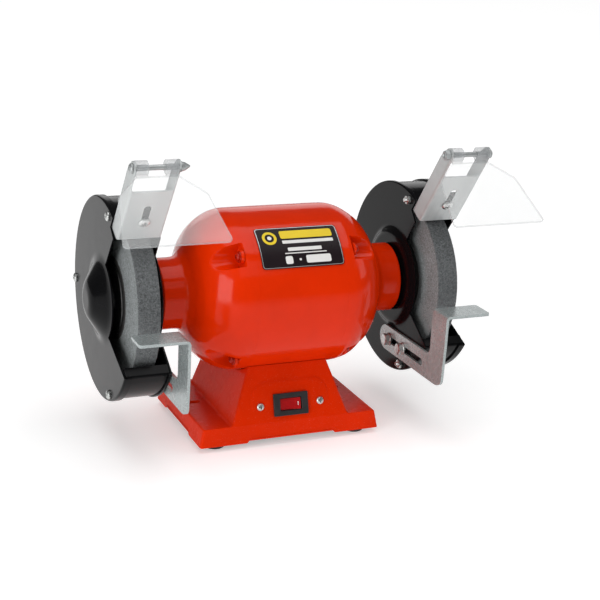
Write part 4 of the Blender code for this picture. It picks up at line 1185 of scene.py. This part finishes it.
base = {
    "bottom": -130.2, "flangeTop": -113.2, "relief": 3.0, "saddle": 75.0,
    "bottomHalf": 88.8, "bottomFront": -58.7, "bottomBack": 70.6,
    "topHalf": 85.4, "topFront": -56.2, "topBack": 67.9,
    "footHalf": 57.6, "footFront": -56.4, "footBack": 62.0,
    "slopeHalf": -0.3715, "slopeFront": 0.299, "slopeBack": -0.06,
    "slot": (71.5, 10.5), "slotHalf": 2.8, "slotRadius": 3.3,
}


def ringPoints(half, front, back, corner, counts):
    # A rectangle with rounded corners in plan, walked from the front left corner, with set counts on each edge.
    nFront, nSide, nCorner = counts
    quarter = np.linspace(0, 1, nCorner + 1)[:-1] * np.pi / 2
    t = np.linspace(0, 1, nFront, endpoint=False)
    s = np.linspace(0, 1, nSide, endpoint=False)
    left, right, low, high = -half + corner, half - corner, front + corner, back - corner
    parts = [
        np.stack([left + (right - left) * t, front + 0 * t], 1),
        np.stack([right + corner * np.sin(quarter), low - corner * np.cos(quarter)], 1),
        np.stack([half + 0 * s, low + (high - low) * s], 1),
        np.stack([right + corner * np.cos(quarter), high + corner * np.sin(quarter)], 1),
        np.stack([right + (left - right) * t, back + 0 * t], 1),
        np.stack([left - corner * np.sin(quarter), high + corner * np.cos(quarter)], 1),
        np.stack([-half + 0 * s, high + (low - high) * s], 1),
        np.stack([left - corner * np.cos(quarter), low - corner * np.sin(quarter)], 1),
    ]
    return np.concatenate(parts)


def makeBase():
    # A casting lofted through rings: each ring is a rounded rectangle, and its half width, front, back, height
    # and corner follow a path with eased corners. The top ends on a round saddle. The switch's pad is raised.
    b = base
    top = -24.0
    rise = top - b["flangeTop"]
    stations = [
        (80.0, -50.0, 62.0, -124.2, 1.0, 0), (84.4, -54.3, 66.2, -124.2, 1.5, 1.0),
        (84.9, -54.8, 66.7, b["bottom"], 1.8, 0.5),
        (b["bottomHalf"], b["bottomFront"], b["bottomBack"], b["bottom"], 2.4, 1.0),
        (b["topHalf"], b["topFront"], b["topBack"], b["flangeTop"], 2.2, 1.9),
        (b["footHalf"], b["footFront"] + 0.1, b["footBack"], b["flangeTop"], 1.8, 2.6),
        (b["footHalf"] + rise * b["slopeHalf"], b["footFront"] + rise * b["slopeFront"],
         b["footBack"] + rise * b["slopeBack"], top, 1.8, 0),
    ]
    path = refined(rounded(stations, steps=5), 1.25)
    counts = (150, 110, 6)
    rings = np.stack([ringPoints(*row[:3], row[4], counts) for row in path])
    height = np.repeat(path[:, 3:4], rings.shape[1], axis=1)
    x, y = rings[..., 0], rings[..., 1]
    # Feet stand proud: the lower edge is raised between them.
    acrossGap = smoothStep(-43.5, -40.5, x) * (1 - smoothStep(41.5, 44.5, x))
    alongGap = smoothStep(-26.0, -23.0, y) * (1 - smoothStep(41.0, 44.0, y))
    onEnds = (np.abs(y - 6.0) > 55.0)
    raised = np.where(onEnds, acrossGap, alongGap) * b["relief"]
    low = height < b["bottom"] + 1.2
    height = np.where(low, height + raised, height)
    # The pad round the switch: a rounded rectangle that fades out downwards.
    onFront = np.zeros(rings.shape[1], bool)
    onFront[:counts[0]] = True
    dx = np.maximum(np.abs(x) - 22.0, 0)
    dz = np.maximum(height + 93.0, 0)
    edgeDistance = np.hypot(dx, dz) - 16.0
    pad = (1 - smoothStep(-0.9, 0.9, edgeDistance)) * smoothStep(-108.0, -90.0, height) * 0.55
    y = y - np.where(onFront[None, :] & (height > b["flangeTop"] + 0.5), pad, 0)
    # Where a wall passes inside the saddle, its point slides back down the wall onto the saddle's surface.
    onFlange = path[:, 0] > b["footHalf"] + 1
    footRow = int(np.argmin(np.abs(path[:, 3] - (b["flangeTop"] + 3.0)) + 1000 * onFlange))
    lowX, lowY, lowZ = x[footRow], y[footRow], height[footRow]
    dirX, dirY, dirZ = x[-1] - lowX, y[-1] - lowY, height[-1] - lowZ
    qa, qb = dirY ** 2 + dirZ ** 2, 2 * (lowY * dirY + lowZ * dirZ)
    qc = lowY ** 2 + lowZ ** 2 - b["saddle"] ** 2
    meet = (-qb - np.sqrt(np.maximum(qb ** 2 - 4 * qa * qc, 0))) / (2 * qa)
    share = np.clip((height - lowZ) / dirZ, 0, None)
    over = (share > meet) & (np.arange(len(path))[:, None] > footRow)
    x = np.where(over, lowX + dirX * meet, x)
    y = np.where(over, lowY + dirY * meet, y)
    height = np.where(over, lowZ + dirZ * meet, height)
    lastX, lastY = x[-1], y[-1]
    fan = np.linspace(1, 0, 8)[1:, None]
    capX, capY = lastX * (0.1 + 0.9 * fan), lastY * fan
    capZ = -np.sqrt(b["saddle"] ** 2 - capY ** 2)
    floorX, floorY = x[0] * np.linspace(0.0, 1.0, 4)[:-1, None], y[0] * np.linspace(0.0, 1.0, 4)[:-1, None]
    grid = np.concatenate([
        np.stack([floorX, floorY, height[0] + 0 * floorX], -1), np.stack([x, y, height], -1),
        np.stack([capX, capY, capZ], -1),
    ])
    rows, columns = grid.shape[:2]
    faces = gridFaces(rows, columns, wrapColumns=True) + [tuple(range((rows - 1) * columns, rows * columns))]
    cutters = []
    for _, side in sideNames:
        slot = filled([slotPoints(0, 0, b["slotHalf"], b["slotRadius"])], 40.0)
        slot = mapped(slot, upright(side * b["slot"][0], b["slot"][1], -118.0))
        cutters.append(cutterFrom(slot, "benchSlot"))
    opening = mapped(filled([boxOutline(13.0, 9.0, 0.5)], 30.0), panelFrame())
    cutters.append(cutterFrom(opening, "switchOpening"))
    addPiece(
        "baseCasting", (grid.reshape(-1, 3), faces), redCast, "housing", ["base_housing"],
        cutters=cutters, sharp=42,
    )
    for cutter in cutters:
        bpy.data.objects.remove(cutter)


panel = {"height": -98.6, "front": -52.034, "slope": 16.65}


def panelFrame():
    return tilted((0, panel["front"], panel["height"]), 90 - panel["slope"])


switch = {
    "rim": (17.0, 10.4, 1.1), "window": (10.6, 5.8, 0.4), "sleeve": (12.8, 8.8, 0.4), "rimDepth": 2.2,
    "sleeveDepth": 13.0, "rockerWidth": 10.6, "tilt": 6.0,
    "screwPlace": 29.6, "screwRadius": 3.5, "screwHeight": 2.3,
}


def makeSwitch():
    # A collar with a sleeve and a floor behind it, and a rocker whose top is a shallow V, tipped to one side.
    s = switch
    window, wall = boxOutline(*s["window"]), boxOutline(*s["sleeve"])
    collar = filled([boxOutline(*s["rim"]), window], s["rimDepth"], 0.5)
    sleeve = filled([wall, window], s["sleeveDepth"], 0.1)
    floor = filled([wall], 0.8, 0.1)
    place = panelFrame()
    shape = joined(
        mapped(collar, place @ upright(0, 0, 1.35)), mapped(sleeve, place @ upright(0, 0, -6.4)),
        mapped(floor, place @ upright(0, 0, -13.3)),
    )
    addPiece("switchCollar", shape, blackPlastic, "housing", ["switch_bezel"])
    tilt = math.radians(s["tilt"])
    outline = rounded([
        (-9.9, 1.9, 0.5), (-9.7, -5.4, 0.3), (9.7, -5.4, 0.3), (9.9, 1.9, 0.5), (5.0, 0.85, 0), (0, 0.45, 3.5),
        (-5.0, 0.85, 0),
    ], closed=True) + np.array([0, 3.2])
    spun = np.stack([
        outline[:, 0] * math.cos(tilt) - outline[:, 1] * math.sin(tilt),
        outline[:, 0] * math.sin(tilt) + outline[:, 1] * math.cos(tilt),
    ], 1)
    rocker = filled([spun], s["rockerWidth"], 0.35)
    rocker = mapped(rocker, place @ upright(0, 0, -3.2) @ facingY(0, 0, 0, -1))
    addPiece("powerRocker", rocker, redPlastic, "rocker", ["power_rocker"])
    mark = mapped(filled([boxOutline(0.35, 1.7, 0.3)], 0.3, 0.05), place @ upright(6.9, 0, 2.35))
    addPiece("rockerMark", mark, plateWhite, "rocker")
    for name, sign in sideNames:
        head = panHead(s["screwRadius"], s["screwHeight"])
        screw = mapped(head, place @ upright(sign * s["screwPlace"], 0, 0.05))
        addPiece(
            "switchScrew" + name.title(), screw, brightSteel, "housing", ["switch_screw_" + name],
        )


foot = {"across": 70, "places": (("front", -43), ("rear", 55)), "height": 8.2, "radius": 10.0}


def makeFeet():  # round rubber feet, a little narrower where they meet the bench
    top, radius = foot["height"], foot["radius"]
    profile = rounded([
        (0, 0, 0), (0, radius - 1.4, 0.6), (1.2, radius - 0.1, 1.0), (top, radius, 0.8), (top, 0, 0),
    ], steps=5)
    for end, y in foot["places"]:
        for sideName, side in sideNames:
            shape = mapped(turned(profile, 64), upright(side * foot["across"], y, benchLevel))
            addPiece(
                "foot" + end.title() + sideName.title(), shape, softRubber, "housing",
                ["foot_" + end + "_" + sideName],
            )


def makeGland():  # a grommet with a flange, at the back, where a cord would enter
    ring = rounded([
        (-6.0, 3.0, 0.4), (-6.0, 5.2, 0.8), (-4.4, 7.0, 1.0), (-0.25, 7.0, 0.3), (-0.25, 4.6, 0),
        (7.8, 4.6, 0.4), (7.8, 3.0, 0.3),
    ], closed=True, steps=4)
    place = facingY(-45.0, base["bottomBack"], -119.5) @ np.diag([1.0, 1.0, -1.0, 1.0])
    gland = mapped(turned(ring, 64, closed=True), place)
    addPiece("cableGland", gland, softRubber, "housing", ["cable_gland"])


makeBase()
makeSwitch()
makeFeet()
makeGland()

print("stage: hidden parts")

for node, material in (
    ("bottom_plate", blackEnamel), ("run_capacitor", blackPlastic), ("stator_core", laminate),
    ("rotor_core", laminate), ("winding_left", copperWire), ("winding_right", copperWire),
    ("bearing_left", dullSteel), ("bearing_right", dullSteel),
):
    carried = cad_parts[node]
    carried.data.materials.clear()
    carried.data.materials.append(material)

print("stage: floor, light and camera")

studio = {
    "floor": 9.0, "nearGlow": 0.40, "farGlow": 0.86, "apronShare": 0.3, "world": 0.12,
    "camera": (-476.1, -1131.7, 377.1), "yaw": 0.4188, "pitch": 0.3081, "roll": 0.0507, "lens": 82.84,
}


def makeFloor():
    size = studio["floor"]
    t = np.linspace(-size, size, 25)
    x, y = np.meshgrid(t, t, indexing="xy")
    points = np.stack([x, y, np.zeros_like(x)], -1).reshape(-1, 3)
    mesh = bpy.data.meshes.new("floor")
    mesh.from_pydata(points.tolist(), [], gridFaces(25, 25))
    floor = linked("floor", mesh)
    f = finishNodes("floorPaper")
    f.colour(f.mixed(f.noise(3.0, 2.0, 0.5), (0.86, 0.86, 0.86), (0.88, 0.88, 0.88)))
    f.set(Roughness=0.9, Emission_Color=(1, 1, 1, 1), Specular_IOR_Level=0.1)
    split = f.node("ShaderNodeSeparateXYZ")
    f.links.new(f.place, split.inputs["Vector"])
    away = f.node("ShaderNodeVectorMath", operation="LENGTH")
    f.links.new(f.place, away.inputs[0])
    glow = f.ranged(away.outputs["Value"], 0.5, 3.0, studio["nearGlow"], studio["farGlow"])
    front = f.ranged(split.outputs["Y"], -1.1, -0.45, studio["apronShare"], 1.0)
    product = f.node("ShaderNodeMath", operation="MULTIPLY")
    f.links.new(glow, product.inputs[0])
    f.links.new(front, product.inputs[1])
    f.links.new(product.outputs["Value"], f.shader.inputs["Emission Strength"])
    mesh.materials.append(f.material)


def addLight(name, place, target, size, power):
    data = bpy.data.lights.new(name, "AREA")
    data.shape = "RECTANGLE"
    data.size, data.size_y = size
    data.energy = power
    lamp = linked(name, data)
    where, aim = np.array(place, float), np.array(target, float)
    back = (where - aim) / np.linalg.norm(where - aim)
    across = np.cross([0, 0, 1.0], back)
    across = across / np.linalg.norm(across) if np.linalg.norm(across) > 1e-6 else np.array([1.0, 0, 0])
    upwards = np.cross(back, across)
    lamp.matrix_world = Matrix(np.block([
        [np.stack([across, upwards, back], 1), where[:, None]], [np.zeros((1, 3)), np.ones((1, 1))],
    ]).tolist())


def makeStudio():
    world = bpy.data.worlds.new("studio")
    bpy.context.scene.world = world
    world.use_nodes = True
    world.node_tree.nodes["Background"].inputs["Color"].default_value = (1, 1, 1, 1)
    world.node_tree.nodes["Background"].inputs["Strength"].default_value = studio["world"]
    middle = (0.0, 0.0, 0.13)
    addLight("overheadSoftbox", (0.0, -0.1, 2.3), middle, (2.6, 1.8), 32)
    addLight("overheadFront", (0.0, -1.9, 1.9), middle, (2.0, 1.0), 5)
    addLight("leftSoftbox", (-1.18, -0.78, 0.40), middle, (0.7, 0.76), 9)
    addLight("leftHigh", (-1.9, -0.9, 1.9), middle, (1.2, 1.2), 2)
    addLight("rightFill", (2.2, -1.0, 1.1), middle, (1.0, 1.2), 8)
    addLight("backLight", (1.1, 2.7, 1.0), middle, (3.4, 1.2), 14)


def makeCamera():
    s = studio
    yaw, pitch, roll = s["yaw"], s["pitch"], s["roll"]
    ahead = np.array([math.sin(yaw) * math.cos(pitch), math.cos(yaw) * math.cos(pitch), -math.sin(pitch)])
    across = np.array([math.cos(yaw), -math.sin(yaw), 0.0])
    upwards = np.cross(across, ahead)
    right = math.cos(roll) * across + math.sin(roll) * upwards
    up = -math.sin(roll) * across + math.cos(roll) * upwards
    where = np.array(s["camera"]) * millimetre + shaftCentre
    data = bpy.data.cameras.new("camera")
    data.sensor_width = 36.0
    data.lens = s["lens"]
    data.clip_end = 50.0
    camera = linked("camera", data)
    camera.matrix_world = Matrix(np.block([
        [np.stack([right, up, -ahead], 1), where[:, None]], [np.zeros((1, 3)), np.ones((1, 1))],
    ]).tolist())
    bpy.context.scene.camera = camera


makeFloor()
makeStudio()
makeCamera()
bpy.context.scene.view_settings.view_transform = "Standard"
bpy.context.scene.view_settings.look = "None"
